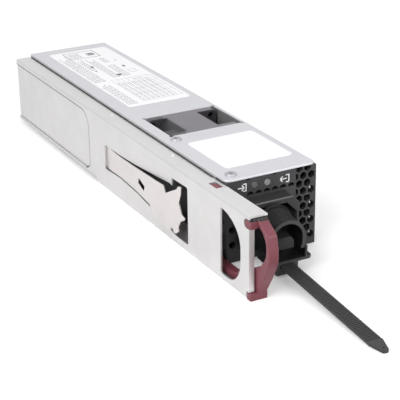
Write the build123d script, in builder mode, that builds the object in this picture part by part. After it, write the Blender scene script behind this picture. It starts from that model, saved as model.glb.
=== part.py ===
from build123d import *
import os
from math import ceil, cos, floor, radians, sin, sqrt

os.makedirs("parts", exist_ok=True)

# Plug-in server power supply, one rack unit high. Millimetres, +Z up.
# The mains inlet faces -Y and the output edge faces +Y. The origin is on the underside,
# in the middle of the slot's width and of the metal box's length.

# The module as a whole
slot_width = 54.5
box_height = 39.0
box_length = 222.0
bracket_width = 8.8
bracket_step = 1.7
sheet = 0.8
bend_radius = 1.2
seat_gap = 0.1

# Where the main faces lie
panel_x = -slot_width / 2
box_left = panel_x + bracket_width
box_right = slot_width / 2
box_mid_x = (box_left + box_right) / 2
front_y = -box_length / 2
rear_y = box_length / 2
bracket_top = box_height - bracket_step

# Lid and tray
cover_sheet = 0.8
seam = 0.2
cover_bottom = box_height - cover_sheet
tray_top = cover_bottom - seam
bezel_depth = 9.0
tray_front = front_y + bezel_depth
inner_left = box_left + sheet
inner_right = box_right - sheet
cover_lip = 4.5
cover_corner_radius = 3.0

# Fan, standing on the floor and reaching up through the lid
fan_setback = 61.5
fan_depth = 28.0
fan_side_gap = 1.2
fan_height_room = box_height - sheet - 3 * seat_gap
fan_width_room = inner_right - inner_left - 2 * fan_side_gap
fan_size = min(fan_height_room, fan_width_room)
fan_right = inner_right - fan_side_gap
fan_left = fan_right - fan_size
fan_front = front_y + fan_setback
fan_rear = fan_front + fan_depth
fan_axis_x = (fan_left + fan_right) / 2
fan_axis_z = sheet + seat_gap + fan_size / 2

# Honeycomb
cell_pitch = 4.15
cell_wall = 0.85
cell_row = cell_pitch * sqrt(3) / 2
cell_radius = (cell_pitch - cell_wall) / sqrt(3)


def across(y):
    """A plane facing the front, drawn in x and z. A negative amount runs to the rear."""
    return Plane(origin=(0, y, 0), x_dir=(1, 0, 0), z_dir=(0, -1, 0))


def rect(low_a, high_a, low_b, high_b, mode=Mode.ADD):
    """A rectangle given by its edges."""
    with Locations(((low_a + high_a) / 2, (low_b + high_b) / 2)):
        Rectangle(high_a - low_a, high_b - low_b, mode=mode)


def honeycomb(low_a, high_a, low_b, high_b, anchor):
    """Centres of the cells in a field, on staggered rows through an anchor."""
    centres = []
    for row in range(ceil((low_b - anchor[1]) / cell_row), floor((high_b - anchor[1]) / cell_row) + 1):
        row_start = anchor[0] + (row % 2) * cell_pitch / 2
        first = ceil((low_a - row_start) / cell_pitch)
        last = floor((high_a - row_start) / cell_pitch)
        for column in range(first, last + 1):
            centres.append((row_start + column * cell_pitch, anchor[1] + row * cell_row))
    return centres


# Base tray: floor, two walls and the rear wall, folded from one sheet
card_z = 4.0
card_board = 1.6
card_left = box_left + 7.0
card_right = inner_right - 7.9
card_slot_clear = 1.5
vent_margin = 4.0
vent_low = card_z + 5.5
ear_width = 9.0
ear_depth = 8.0
rivet_radius = 1.2
rivet_clear = 0.05
rivet_high = bracket_top - 3.7
rivet_low = 3.6
rivet_front_setback = 22.0
rivet_spacing = 76.0
rivet_rear_setback = 16.0
rivet_front = front_y + rivet_front_setback
rivet_middle = rivet_front + rivet_spacing
rivet_rear = rear_y - rivet_rear_setback
rivet_places = (
    (rivet_front, rivet_high),
    (rivet_middle, rivet_high),
    (rivet_rear, rivet_high),
    (rivet_front, rivet_low),
    (rivet_middle, rivet_low),
)
cover_screw_x = box_left + 5.8
tray_screw_y = front_y + 56.4
bezel_screw_y = front_y + 6.0
screw_hole_radius = 1.25

with BuildPart() as base_tray:
    with BuildSketch(across(tray_front)) as tray_outline:
        rect(box_left, box_right, 0, tray_top)
        fillet(tray_outline.vertices().group_by(Axis.Y)[0], bend_radius)
        rect(inner_left, inner_right, sheet, tray_top + sheet, mode=Mode.SUBTRACT)
    extrude(amount=tray_front - rear_y)
    with BuildSketch(across(rear_y)) as tray_rear:
        rect(inner_left, inner_right, sheet, tray_top)
    extrude(amount=sheet)
    with BuildSketch(across(rear_y)) as tray_openings:
        rect(
            card_left - card_slot_clear,
            card_right + card_slot_clear,
            card_z - card_slot_clear,
            card_z + card_board + card_slot_clear,
        )
        vents = honeycomb(
            inner_left + vent_margin,
            inner_right - vent_margin,
            vent_low,
            tray_top - vent_margin,
            anchor=(box_mid_x, vent_low),
        )
        with Locations(*vents):
            RegularPolygon(cell_radius, 6, rotation=30)
    extrude(amount=sheet, mode=Mode.SUBTRACT)
    with BuildSketch(Plane.XY.offset(tray_top - sheet)) as cover_ear:
        rect(inner_left, inner_left + ear_width, tray_screw_y - ear_depth / 2, tray_screw_y + ear_depth / 2)
        fillet(cover_ear.vertices().group_by(Axis.X)[-1], bend_radius)
        with Locations((cover_screw_x, tray_screw_y)):
            Circle(screw_hole_radius, mode=Mode.SUBTRACT)
    extrude(amount=sheet)
    with BuildSketch(Plane.YZ.offset(box_left)) as rivet_holes:
        with Locations(*rivet_places):
            Circle(rivet_radius + rivet_clear)
    extrude(amount=sheet, mode=Mode.SUBTRACT)
base_tray.part.label = "base_tray"
export_step(base_tray.part, "parts/base_tray.step")


# Top cover: a flat lid with narrow lips inside the walls and the opening for the fan
lip_thickness = sheet
lip_front = tray_front + 6.0
lip_rear = rear_y - sheet - 1.0
fan_clear = 0.25
relief_radius = 0.9
lip_break = 1.5
lid_edge = 0.3

with BuildPart() as top_cover:
    with BuildSketch(Plane.XY.offset(cover_bottom)) as lid:
        rect(box_left, box_right, front_y, rear_y)
        fillet(lid.vertices().group_by(Axis.Y)[0], cover_corner_radius)
    extrude(amount=cover_sheet)
    with BuildSketch(Plane.XY.offset(cover_bottom - cover_lip)) as lips:
        for low_x in (inner_left + seat_gap, inner_right - seat_gap - lip_thickness):
            rect(low_x, low_x + lip_thickness, lip_front, tray_screw_y - ear_depth / 2 - lip_break)
            rect(low_x, low_x + lip_thickness, fan_rear + lip_break, lip_rear)
    extrude(amount=cover_lip)
    with BuildSketch(Plane.XY.offset(cover_bottom)) as fan_opening:
        rect(fan_left - fan_clear, fan_right + fan_clear, fan_front - fan_clear, fan_rear + fan_clear)
        with Locations(
            (fan_left, fan_front - fan_clear),
            (fan_left, fan_rear + fan_clear),
            (fan_right, fan_front - fan_clear),
            (fan_right, fan_rear + fan_clear),
        ):
            Circle(relief_radius)
        with Locations((cover_screw_x, tray_screw_y), (cover_screw_x, bezel_screw_y)):
            Circle(screw_hole_radius)
    extrude(amount=cover_sheet, mode=Mode.SUBTRACT)
    fillet(top_cover.faces().sort_by(Axis.Z)[-1].outer_wire().edges(), lid_edge)
top_cover.part.label = "top_cover"
export_step(top_cover.part, "parts/top_cover.step")


# Cover screws: low round heads with a cross slot, through the lid into the ear and the bezel
screw_radius = 1.2
screw_head_radius = 2.6
screw_head_height = 0.7
screw_length = 5.0
cross_length = 2.8
cross_width = 0.6
cross_depth = 0.4
screw_edge = 0.4

with BuildPart() as cover_screws:
    with Locations((cover_screw_x, tray_screw_y, box_height), (cover_screw_x, bezel_screw_y, box_height)):
        Cylinder(screw_head_radius, screw_head_height, align=(Align.CENTER, Align.CENTER, Align.MIN))
        Cylinder(screw_radius, screw_length, align=(Align.CENTER, Align.CENTER, Align.MAX))
    fillet(cover_screws.faces().filter_by(Axis.Z).group_by(Axis.Z)[-1].edges(), screw_edge)
    with Locations(
        (cover_screw_x, tray_screw_y, box_height + screw_head_height),
        (cover_screw_x, bezel_screw_y, box_height + screw_head_height),
    ):
        Box(cross_length, cross_width, 2 * cross_depth, mode=Mode.SUBTRACT)
        Box(cross_width, cross_length, 2 * cross_depth, mode=Mode.SUBTRACT)
cover_screws.part.label = "cover_screws"
export_step(cover_screws.part, "parts/cover_screws.step")


# Side bracket: a folded channel on the left wall, open towards the box ahead of the front
bracket_reach = 33.9
bracket_front = front_y - bracket_reach
step_y = front_y + 116.5
step_height = 2.5
panel_inner = panel_x + sheet
wall_x = box_left - seat_gap
return_width = 2.5
return_low = 3.6
notch_low = bracket_top - 5.4
notch_high = bracket_top - 1.3
notch_depth = 4.0
lip_height = 6.0
lip_start = tray_front + 1.5

# D-shaped finger window near the front
window_rear = front_y - 10.5
window_front = bracket_front + 6.8
window_low = 3.0
window_high = bracket_top - 4.0
window_height = window_high - window_low
window_side_low = window_low + 0.383 * window_height
window_side_high = window_low + 0.571 * window_height
window_corner = 10.6

# Latch window, from its rear slit to its tall front end, with a tooth in its upper edge
latch_rear = front_y + 105.0
latch_front = front_y + 18.5
latch_low = 4.0
latch_high = bracket_top - 5.9
latch_corner = 1.0

# Slot for the handle's hook, the half-shear bumps and the pressed recess at the rear
hook_left = box_left - 5.2
hook_right = box_left - 1.9
hook_front = front_y - 0.9
hook_rear = front_y + 4.4
hook_room = 1.5
recess_front = latch_rear + 19.0
recess_low = 4.0
recess_high = bracket_top - 2.8
recess_depth = 0.5
recess_corner_high = 8.0
recess_corner_low = 5.0
crease_width = 0.45
crease_depth = 0.25
bump_x = box_left - 2.6
bump_places = ((bump_x, front_y + 43.5), (bump_x, front_y + 108.0))
bump_radius = 1.1
bump_height = 0.3


def on_panel(back, up):
    """A point on the panel, as shares of the latch window's length and height."""
    return (latch_front + back * (latch_rear - latch_front), latch_low + up * (latch_high - latch_low))


with BuildPart() as side_bracket:
    with BuildSketch(across(bracket_front)) as nose_channel:
        rect(panel_x, wall_x, 0, bracket_top)
        fillet(nose_channel.vertices().group_by(Axis.X)[0], bend_radius)
        rect(panel_inner, wall_x, sheet, bracket_top - sheet, mode=Mode.SUBTRACT)
    extrude(amount=bracket_front - lip_start)
    with BuildSketch(across(lip_start)) as front_channel:
        rect(panel_x, wall_x, 0, bracket_top)
        fillet(front_channel.vertices(), bend_radius)
        rect(panel_inner, wall_x - sheet, sheet, bracket_top - sheet, mode=Mode.SUBTRACT)
        rect(wall_x - sheet, wall_x, lip_height, bracket_top - lip_height, mode=Mode.SUBTRACT)
    extrude(amount=lip_start - step_y)
    with BuildSketch(across(step_y)) as rear_channel:
        rect(panel_x, wall_x, step_height, bracket_top)
        fillet(rear_channel.vertices().group_by(Axis.Y)[-1], bend_radius)
        rect(panel_inner, wall_x - sheet, step_height, bracket_top - sheet, mode=Mode.SUBTRACT)
        rect(wall_x - sheet, wall_x, step_height, bracket_top - lip_height, mode=Mode.SUBTRACT)
    extrude(amount=step_y - rear_y)
    with BuildSketch(across(bracket_front)) as front_return:
        rect(panel_inner, panel_x + return_width, return_low, notch_low)
    extrude(amount=-sheet)
    with BuildSketch(Plane.YZ.offset(panel_x)) as recess:
        rect(recess_front, rear_y + crease_width, recess_low, recess_high)
        fillet(recess.vertices().group_by(Axis.X)[0].sort_by(Axis.Y)[-1], recess_corner_high)
        fillet(recess.vertices().group_by(Axis.X)[0].sort_by(Axis.Y)[0], recess_corner_low)
    extrude(amount=recess_depth, mode=Mode.SUBTRACT)
    with BuildSketch(Plane.YZ.offset(panel_inner)) as recess_back:
        add(recess.sketch_local)
        rect(rear_y, rear_y + crease_width, recess_low, recess_high, mode=Mode.SUBTRACT)
    extrude(amount=recess_depth)
    with BuildSketch(Plane.YZ.offset(panel_x + recess_depth)) as crease:
        add(recess.sketch_local)
        offset(amount=-crease_width, mode=Mode.SUBTRACT)
    extrude(amount=crease_depth, mode=Mode.SUBTRACT)
    with BuildSketch(Plane.YZ.offset(panel_x)) as finger_window:
        with BuildLine():
            Line((window_rear, window_high), (window_rear, window_low))
            Line((window_rear, window_low), (window_front + window_corner, window_low))
            EllipticalCenterArc(
                (window_front + window_corner, window_side_low),
                window_corner,
                window_side_low - window_low,
                start_angle=180,
            )
            Line((window_front, window_side_low), (window_front, window_side_high))
            EllipticalCenterArc(
                (window_rear, window_side_high),
                window_rear - window_front,
                window_high - window_side_high,
                start_angle=90,
            )
        make_face()
    extrude(amount=sheet, mode=Mode.SUBTRACT)
    with BuildSketch(Plane.YZ.offset(panel_x)) as latch_window:
        Polygon(
            on_panel(1.0, 0.719),
            on_panel(1.0, 0.252),
            on_panel(0.803, 0.288),
            on_panel(0.595, 0.245),
            on_panel(0.410, 0.161),
            on_panel(0.202, 0.044),
            on_panel(0.133, 0.0),
            (latch_front, latch_low),
            (latch_front, latch_high),
            on_panel(0.169, 0.985),
            on_panel(0.171, 0.85),
            on_panel(0.190, 0.869),
            on_panel(0.387, 0.81),
            on_panel(0.607, 0.755),
            on_panel(0.803, 0.725),
            align=None,
        )
        fillet(latch_window.vertices().group_by(Axis.X)[0], latch_corner)
    extrude(amount=sheet, mode=Mode.SUBTRACT)
    with BuildSketch(Plane.XY.offset(bracket_top - sheet)) as flange_cuts:
        rect(hook_left, hook_right, hook_front, hook_rear + hook_room)
        with Locations(*bump_places):
            Circle(bump_radius)
    extrude(amount=sheet, mode=Mode.SUBTRACT)
    with BuildSketch(Plane.XY.offset(bracket_top - sheet / 2)) as half_shears:
        with Locations(*bump_places):
            Circle(bump_radius)
    extrude(amount=sheet / 2 + bump_height)
    with BuildSketch(Plane.YZ.offset(panel_x)) as notches:
        with Locations((bracket_front, (notch_low + notch_high) / 2)):
            SlotOverall(2 * notch_depth, notch_high - notch_low)
        rect(bracket_front, bracket_front + notch_depth / 2, 0, return_low)
    extrude(amount=return_width, mode=Mode.SUBTRACT)
    with BuildSketch(Plane.YZ.offset(wall_x - sheet)) as lip_holes:
        with Locations(*rivet_places):
            Circle(rivet_radius + rivet_clear)
    extrude(amount=sheet, mode=Mode.SUBTRACT)
side_bracket.part.label = "side_bracket"
export_step(side_bracket.part, "parts/side_bracket.step")


# Latch leaf: spring steel, rooted behind the panel, bulging out through the window
leaf_sheet = 0.5
leaf_tail = 8.0
leaf_slit = 0.9
leaf_root = latch_rear + leaf_tail
leaf_bulge = 2.0
leaf_dip = 2.6
leaf_hidden_x = panel_inner + seat_gap + leaf_sheet / 2
leaf_flush_x = panel_x + leaf_sheet / 2
leaf_bulge_x = panel_x - leaf_bulge
leaf_end_x = panel_x + leaf_dip
leaf_rise = 8.1
leaf_bulge_rear = on_panel(0.318, 0)[0]
leaf_bulge_front = on_panel(0.214, 0)[0]
leaf_end = on_panel(0.058, 0)[0]
slot_hole_width = 2.8

with BuildPart() as latch_leaf:
    with BuildSketch(Plane.XY) as leaf_plan:
        with BuildLine() as leaf_path:
            Polyline(
                (leaf_hidden_x, leaf_root),
                (leaf_hidden_x, latch_rear - leaf_slit),
                (leaf_flush_x, latch_rear - leaf_slit - leaf_rise),
                (leaf_bulge_x, leaf_bulge_rear),
                (leaf_bulge_x, leaf_bulge_front),
                (leaf_end_x, leaf_end),
            )
        trace(line_width=leaf_sheet)
    extrude(amount=box_height)
    with BuildSketch(Plane.YZ.offset(leaf_bulge_x - leaf_sheet)) as leaf_outline:
        Polygon(
            (leaf_root, on_panel(0, 0.336)[1]),
            (leaf_root, on_panel(0, 0.642)[1]),
            (latch_rear - leaf_slit, on_panel(0, 0.71)[1]),
            on_panel(0.803, 0.713),
            on_panel(0.607, 0.737),
            on_panel(0.387, 0.788),
            on_panel(0.215, 0.821),
            on_panel(0.200, 0.7),
            on_panel(0.175, 0.748),
            on_panel(0.126, 0.832),
            on_panel(0.117, 0.888),
            on_panel(0.095, 0.898),
            on_panel(0.099, 0.75),
            on_panel(0.113, 0.602),
            on_panel(0.096, 0.42),
            on_panel(0.073, 0.365),
            on_panel(0.074, 0.332),
            on_panel(0.103, 0.285),
            on_panel(0.117, 0.193),
            on_panel(0.117, 0.09),
            on_panel(0.138, 0.033),
            on_panel(0.151, 0.045),
            on_panel(0.161, 0.124),
            on_panel(0.177, 0.062),
            on_panel(0.376, 0.172),
            on_panel(0.392, 0.277),
            on_panel(0.595, 0.321),
            on_panel(0.803, 0.325),
            (latch_rear - leaf_slit, on_panel(0, 0.285)[1]),
            align=None,
        )
        with BuildLine(mode=Mode.PRIVATE) as slot_hole_line:
            Line(on_panel(0.532, 0.555), on_panel(0.457, 0.482))
        trace(slot_hole_line.line, line_width=slot_hole_width, mode=Mode.SUBTRACT)
    extrude(amount=bracket_width, mode=Mode.INTERSECT)
latch_leaf.part.label = "latch_leaf"
export_step(latch_leaf.part, "parts/latch_leaf.step")


# Pull handle: one moulding with a bow, two rails in the channel, feet, lugs and a snap hook
handle_gap = 0.3
handle_width = 4.8
handle_wall_gap = 0.7
handle_right = wall_x - handle_wall_gap
handle_left = handle_right - handle_width
rail_top = bracket_top - sheet - handle_gap
rail_bottom = sheet + handle_gap
rail_depth = 2.6
rail_end = 1.2
rail_rear = hook_rear + rail_end
bow_reach = 10.1
bow_thickness = 2.5
foot_proud = 1.3
handle_edge = 0.6


def on_bow(ahead, share):
    """A point of the bow: how far ahead of the bracket, and how high between the rails."""
    return (bracket_front - ahead, rail_bottom + share * (rail_top - rail_bottom))


bow_top = (bracket_front - foot_proud, rail_top)
bow_bottom = (bracket_front, rail_bottom)
loop_top = (bracket_front + 1.0, rail_top - rail_depth)
loop_bottom = (bracket_front + 21.9, rail_bottom + rail_depth)

with BuildPart() as pull_handle:
    with BuildSketch(Plane.YZ.offset(handle_left)) as handle_side:
        with BuildLine():
            FilletPolyline(
                bow_top,
                on_bow(3.6, 0.949),
                on_bow(8.7, 0.869),
                on_bow(bow_reach, 0.667),
                on_bow(bow_reach, 0.51),
                on_bow(6.1, 0.282),
                bow_bottom,
                radius=(8, 3, 12, 10, 12),
            )
            Polyline(bow_bottom, (rail_rear, rail_bottom), (rail_rear, loop_bottom[1]), loop_bottom)
            FilletPolyline(
                loop_bottom,
                on_bow(-16.9, 0.111),
                on_bow(3.6, 0.439),
                on_bow(bow_reach - bow_thickness, 0.595),
                on_bow(7.5, 0.766),
                on_bow(4.6, 0.88),
                loop_top,
                radius=(10, 8, 6, 5, 3),
            )
            Polyline(loop_top, (rail_rear, loop_top[1]), (rail_rear, rail_top), bow_top)
        make_face()
    extrude(amount=handle_width)
    fillet(pull_handle.faces().filter_by(Axis.X).edges(), handle_edge)
    with BuildSketch(across(bracket_front - foot_proud)) as top_foot:
        rect(panel_inner + handle_gap, handle_right, rail_top - rail_depth, rail_top)
    extrude(amount=-(foot_proud + notch_depth - handle_gap))
    with BuildSketch(Plane.YZ.offset(panel_x + seat_gap)) as top_lug:
        with Locations((bracket_front, (notch_low + notch_high) / 2)):
            SlotOverall(2 * (notch_depth - handle_gap), notch_high - notch_low - 2 * handle_gap)
        rect(
            bracket_front - notch_depth,
            bracket_front - foot_proud,
            notch_low,
            notch_high,
            mode=Mode.SUBTRACT,
        )
    extrude(amount=handle_left - panel_x)
    with BuildSketch(across(bracket_front - foot_proud)) as bottom_foot:
        rect(panel_x + seat_gap, handle_right, seat_gap, return_low - handle_gap)
    extrude(amount=-(foot_proud - seat_gap))
    with BuildSketch(across(bracket_front - foot_proud)) as bottom_lug:
        rect(panel_x + seat_gap, panel_x + return_width - handle_gap, seat_gap, return_low - handle_gap)
    extrude(amount=-(foot_proud + notch_depth / 2 - handle_gap))
    with BuildSketch(Plane.XY.offset(rail_top - rail_depth / 2)) as snap_hook:
        rect(hook_left + handle_gap, hook_right - handle_gap, hook_front + seat_gap, hook_rear)
    extrude(amount=bracket_top - seat_gap - rail_top + rail_depth / 2)
pull_handle.part.label = "pull_handle"
export_step(pull_handle.part, "parts/pull_handle.step")


# Mains inlet: a housing with a protruding collar, a recess with cut upper corners and three blades
inlet_x = box_left + 19.0
inlet_z = box_height / 2 - 1.5
recess_width = 24.6
recess_height = 16.5
recess_chamfer = 5.0
collar_wall = 1.4
collar_top_wall = 2.6
collar_proud = 7.0
recess_deep = 16.5
inlet_depth = 21.0
collar_left = inlet_x - recess_width / 2 - collar_wall
collar_right = inlet_x + recess_width / 2 + collar_wall
collar_low = inlet_z - recess_height / 2 - collar_wall
collar_high = inlet_z + recess_height / 2 + collar_top_wall
collar_chamfer = 3.4
collar_edge = 0.4
face_thickness = 2.2
inlet_front = front_y - collar_proud
inlet_rear = inlet_front + inlet_depth
pin_width = 2.0
pin_height = 4.0
pin_spacing = 14.0
pin_drop = 2.0
pin_rise = 2.0
pin_length = 13.0
pin_point = 0.6
tail_width = 1.0
tail_height = 2.4
tail_length = 4.0
retaining_rim = 1.1
rim_thickness = 1.6

with BuildPart() as inlet_housing:
    with BuildSketch(across(inlet_front)) as collar:
        rect(collar_left, collar_right, collar_low, collar_high)
        chamfer(collar.vertices().group_by(Axis.Y)[-1], collar_chamfer)
    extrude(amount=-inlet_depth)
    with BuildSketch(across(front_y + face_thickness + seat_gap)) as rim:
        rim_right = collar_right + retaining_rim
        rect(collar_left - retaining_rim, rim_right, collar_low, collar_high + retaining_rim)
    extrude(amount=-rim_thickness)
    with BuildSketch(across(inlet_front)) as plug_recess:
        with Locations((inlet_x, inlet_z)):
            Rectangle(recess_width, recess_height)
        chamfer(plug_recess.vertices().group_by(Axis.Y)[-1], recess_chamfer)
    extrude(amount=-recess_deep, mode=Mode.SUBTRACT)
    with BuildSketch(across(inlet_front)) as pin_slots:
        with Locations(
            (inlet_x - pin_spacing / 2, inlet_z - pin_drop),
            (inlet_x + pin_spacing / 2, inlet_z - pin_drop),
            (inlet_x, inlet_z + pin_rise),
        ):
            Rectangle(pin_width, pin_height)
    extrude(amount=-inlet_depth, mode=Mode.SUBTRACT)
    chamfer(inlet_housing.faces().sort_by(Axis.Y)[0].outer_wire().edges(), collar_edge)
inlet_housing.part.label = "inlet_housing"
export_step(inlet_housing.part, "parts/inlet_housing.step")


# Contact blades of the inlet, with bevelled tips and solder tails behind
pin_tip = inlet_front + recess_deep - pin_length
for pin_name, pin_x, pin_z in (
    ("inlet_pin_line", inlet_x - pin_spacing / 2, inlet_z - pin_drop),
    ("inlet_pin_neutral", inlet_x + pin_spacing / 2, inlet_z - pin_drop),
    ("inlet_pin_earth", inlet_x, inlet_z + pin_rise),
):
    with BuildPart() as inlet_pin:
        with BuildSketch(across(pin_tip)) as blade:
            with Locations((pin_x, pin_z)):
                Rectangle(pin_width, pin_height)
        extrude(amount=pin_tip - inlet_rear)
        chamfer(inlet_pin.faces().sort_by(Axis.Y)[0].edges(), pin_point)
        with BuildSketch(across(inlet_rear)) as solder_tail:
            with Locations((pin_x, pin_z)):
                Rectangle(tail_width, tail_height)
        extrude(amount=-tail_length)
    inlet_pin.part.label = pin_name
    export_step(inlet_pin.part, "parts/" + pin_name + ".step")


# Front bezel: a face with a honeycomb beside the inlet's plain frame, and pierced side returns
bezel_wall = 1.3
bezel_left = box_left + seat_gap
bezel_right = box_right - seat_gap
bezel_low = 0.3
bezel_high = cover_bottom - seat_gap
bezel_rear = tray_front - seat_gap
band_low = bezel_high - 6.2
frame_high = bezel_high - 7.8
light_room = bezel_high - bezel_wall - collar_high - retaining_rim
light_z = collar_high + retaining_rim + 0.679 * light_room
light_left_x = box_left + 14.0
light_right_x = box_left + 20.5
light_radius = 0.219 * light_room
screw_boss_radius = 2.6
screw_boss_length = 7.0
screw_boss_hole = 6.0
field_left = collar_right + 2.4
field_right = bezel_right - 2.4
field_low = bezel_low + 3.5
first_cell = (field_left + 1.8, bezel_high - 0.7)
short_row_left = box_left + 9.8
left_cell_x = collar_left - 2.25
side_cell_y = front_y + face_thickness + 1.9
strap_x = box_left + 17.2
strap_root_z = collar_low - 1.65
peg_radius = 1.8
peg_z = strap_root_z - 1.2
spigot = 4.0
tab_notch_high = 0.7
tab_notches = ((box_left + 10.0, box_left + 11.9), (box_left + 23.3, box_left + 24.9))

with BuildPart() as front_bezel:
    with BuildSketch(across(front_y)) as bezel_outline:
        rect(bezel_left, bezel_right, bezel_low, bezel_high)
    extrude(amount=front_y - bezel_rear)
    with BuildSketch(across(front_y + face_thickness)) as bezel_hollow:
        rect(
            bezel_left + bezel_wall,
            bezel_right - bezel_wall,
            bezel_low + bezel_wall,
            bezel_high - bezel_wall,
        )
    extrude(amount=-bezel_depth, mode=Mode.SUBTRACT)
    with BuildSketch(across(bezel_rear - bezel_wall)) as spigot_ring:
        rect(inner_left + seat_gap, inner_right - seat_gap, sheet + seat_gap, cover_bottom - seat_gap)
        rect(
            bezel_left + bezel_wall,
            bezel_right - bezel_wall,
            bezel_low + bezel_wall + sheet,
            bezel_high - bezel_wall,
            mode=Mode.SUBTRACT,
        )
    extrude(amount=-(bezel_wall + spigot))
    with Locations((cover_screw_x, bezel_screw_y, bezel_high)):
        Cylinder(screw_boss_radius, screw_boss_length, align=(Align.CENTER, Align.CENTER, Align.MAX))
        Cylinder(
            screw_radius,
            screw_boss_hole,
            align=(Align.CENTER, Align.CENTER, Align.MAX),
            mode=Mode.SUBTRACT,
        )
    with BuildSketch(across(front_y)) as face_cells:
        with Locations(*honeycomb(short_row_left, field_right, field_low, bezel_high, anchor=first_cell)):
            RegularPolygon(cell_radius, 6, rotation=30)
        rect(bezel_left, field_left, bezel_low, frame_high, mode=Mode.SUBTRACT)
        rect(bezel_left, field_left, band_low, box_height, mode=Mode.SUBTRACT)
        left_anchor = (left_cell_x, first_cell[1])
        left_limit = left_cell_x + cell_wall
        with Locations(*honeycomb(left_cell_x, left_limit, field_low, band_low, anchor=left_anchor)):
            RegularPolygon(cell_radius, 6, rotation=30)
    extrude(amount=-face_thickness, mode=Mode.SUBTRACT)
    with BuildSketch(Plane.YZ.offset(bezel_left)) as side_cells:
        side_anchor = (side_cell_y + cell_pitch / 2, first_cell[1])
        side_rear = side_cell_y + cell_pitch / 2 + cell_wall
        with Locations(*honeycomb(side_cell_y, side_rear, field_low, collar_high, anchor=side_anchor)):
            RegularPolygon(cell_radius, 6, rotation=30)
    extrude(amount=bezel_right - bezel_left, mode=Mode.SUBTRACT)
    with BuildSketch(across(front_y)) as bezel_holes:
        rect(
            collar_left - seat_gap,
            collar_right + seat_gap,
            collar_low - seat_gap,
            collar_high + seat_gap,
        )
        chamfer(bezel_holes.vertices().group_by(Axis.Y)[-1], collar_chamfer)
        with Locations((light_left_x, light_z), (light_right_x, light_z)):
            Circle(light_radius + seat_gap / 2)
        with Locations((strap_x, peg_z)):
            Circle(peg_radius + seat_gap / 2)
        for notch_left, notch_right in tab_notches:
            rect(notch_left, notch_right, bezel_high - tab_notch_high, bezel_high)
    extrude(amount=-face_thickness, mode=Mode.SUBTRACT)
front_bezel.part.label = "front_bezel"
export_step(front_bezel.part, "parts/front_bezel.step")


# Light pipes behind the two status holes
pipe_length = 9.0
pipe_proud = 0.3
pipe_stop = 0.4 * light_radius
pipe_stop_length = 1.2

for pipe_name, pipe_x in (("light_pipe_left", light_left_x), ("light_pipe_right", light_right_x)):
    with BuildPart() as light_pipe:
        with BuildSketch(across(front_y - pipe_proud)) as lens:
            with Locations((pipe_x, light_z)):
                Circle(light_radius)
        extrude(amount=-pipe_length)
        fillet(light_pipe.faces().sort_by(Axis.Y)[0].edges(), pipe_proud)
        with BuildSketch(across(front_y + face_thickness + seat_gap)) as stop_ring:
            with Locations((pipe_x, light_z)):
                Circle(light_radius + pipe_stop)
        extrude(amount=-pipe_stop_length)
    light_pipe.part.label = pipe_name
    export_step(light_pipe.part, "parts/" + pipe_name + ".step")


# Rivets that hold the side bracket to the tray, set flush on the inside
rivet_head_radius = 2.1
rivet_head = 0.7
rivet_edge = 0.35

with BuildPart() as bracket_rivets:
    with BuildSketch(Plane.YZ.offset(wall_x - sheet - rivet_head)) as rivet_heads:
        with Locations(*rivet_places):
            Circle(rivet_head_radius)
    extrude(amount=rivet_head)
    chamfer(bracket_rivets.faces().filter_by(Axis.X).group_by(Axis.X)[0].edges(), rivet_edge)
    with BuildSketch(Plane.YZ.offset(wall_x - sheet)) as rivet_shanks:
        with Locations(*rivet_places):
            Circle(rivet_radius)
    extrude(amount=inner_left - wall_x + sheet)
bracket_rivets.part.label = "bracket_rivets"
export_step(bracket_rivets.part, "parts/bracket_rivets.step")


# Labels on the lid
label_thickness = 0.12
label_side_left = 7.5
label_side_right = 3.7
label_corner = 2.0
rating_behind_fan = 19.5
rating_ahead_of_rear = 8.5
blank_setback = 13.0
blank_length = 36.3
label_left = box_left + label_side_left
label_right = box_right - label_side_right
rating_front = fan_rear + rating_behind_fan
rating_rear = rear_y - rating_ahead_of_rear
blank_front = front_y + blank_setback
blank_rear = blank_front + blank_length

for label_name, label_front, label_rear in (
    ("rating_label", rating_front, rating_rear),
    ("blank_label", blank_front, blank_rear),
):
    with BuildPart() as label:
        with BuildSketch(Plane.XY.offset(box_height)) as label_outline:
            rect(label_left, label_right, label_front, label_rear)
            fillet(label_outline.vertices(), label_corner)
        extrude(amount=label_thickness)
    label.part.label = label_name
    export_step(label.part, "parts/" + label_name + ".step")


# Cord strap: a toothed strap that slopes down and a little to the left, with a push-in peg
strap_slope = 3.5
strap_yaw = 1.8
strap_width = 6.4
strap_thickness = 1.3
strap_length = 97.0
strap_taper = 7.0
strap_tip = 2.4
tip_radius = 1.0
tip_hole_radius = 0.5
tip_hole_back = 2.0
tooth_pitch = 1.2
tooth_groove = 0.5
tooth_depth = 0.25
teeth_from = 8.0
teeth_to = strap_length - strap_taper
head_width = 8.0
head_deep = 4.0
head_above = 1.35
head_below = 2.8
head_corner = 0.8
barb_radius = 2.5
barb_length = 2.2
yaw_cos, yaw_sin = cos(radians(strap_yaw)), sin(radians(strap_yaw))
slope_cos, slope_sin = cos(radians(strap_slope)), sin(radians(strap_slope))
strap_side = (yaw_cos, -yaw_sin, 0)
strap_up = (-yaw_sin * slope_sin, -yaw_cos * slope_sin, slope_cos)
strap_ahead = (-yaw_sin * slope_cos, -yaw_cos * slope_cos, -slope_sin)
strap_plane = Plane(origin=(strap_x, front_y, strap_root_z), x_dir=strap_side, z_dir=strap_up)

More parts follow.
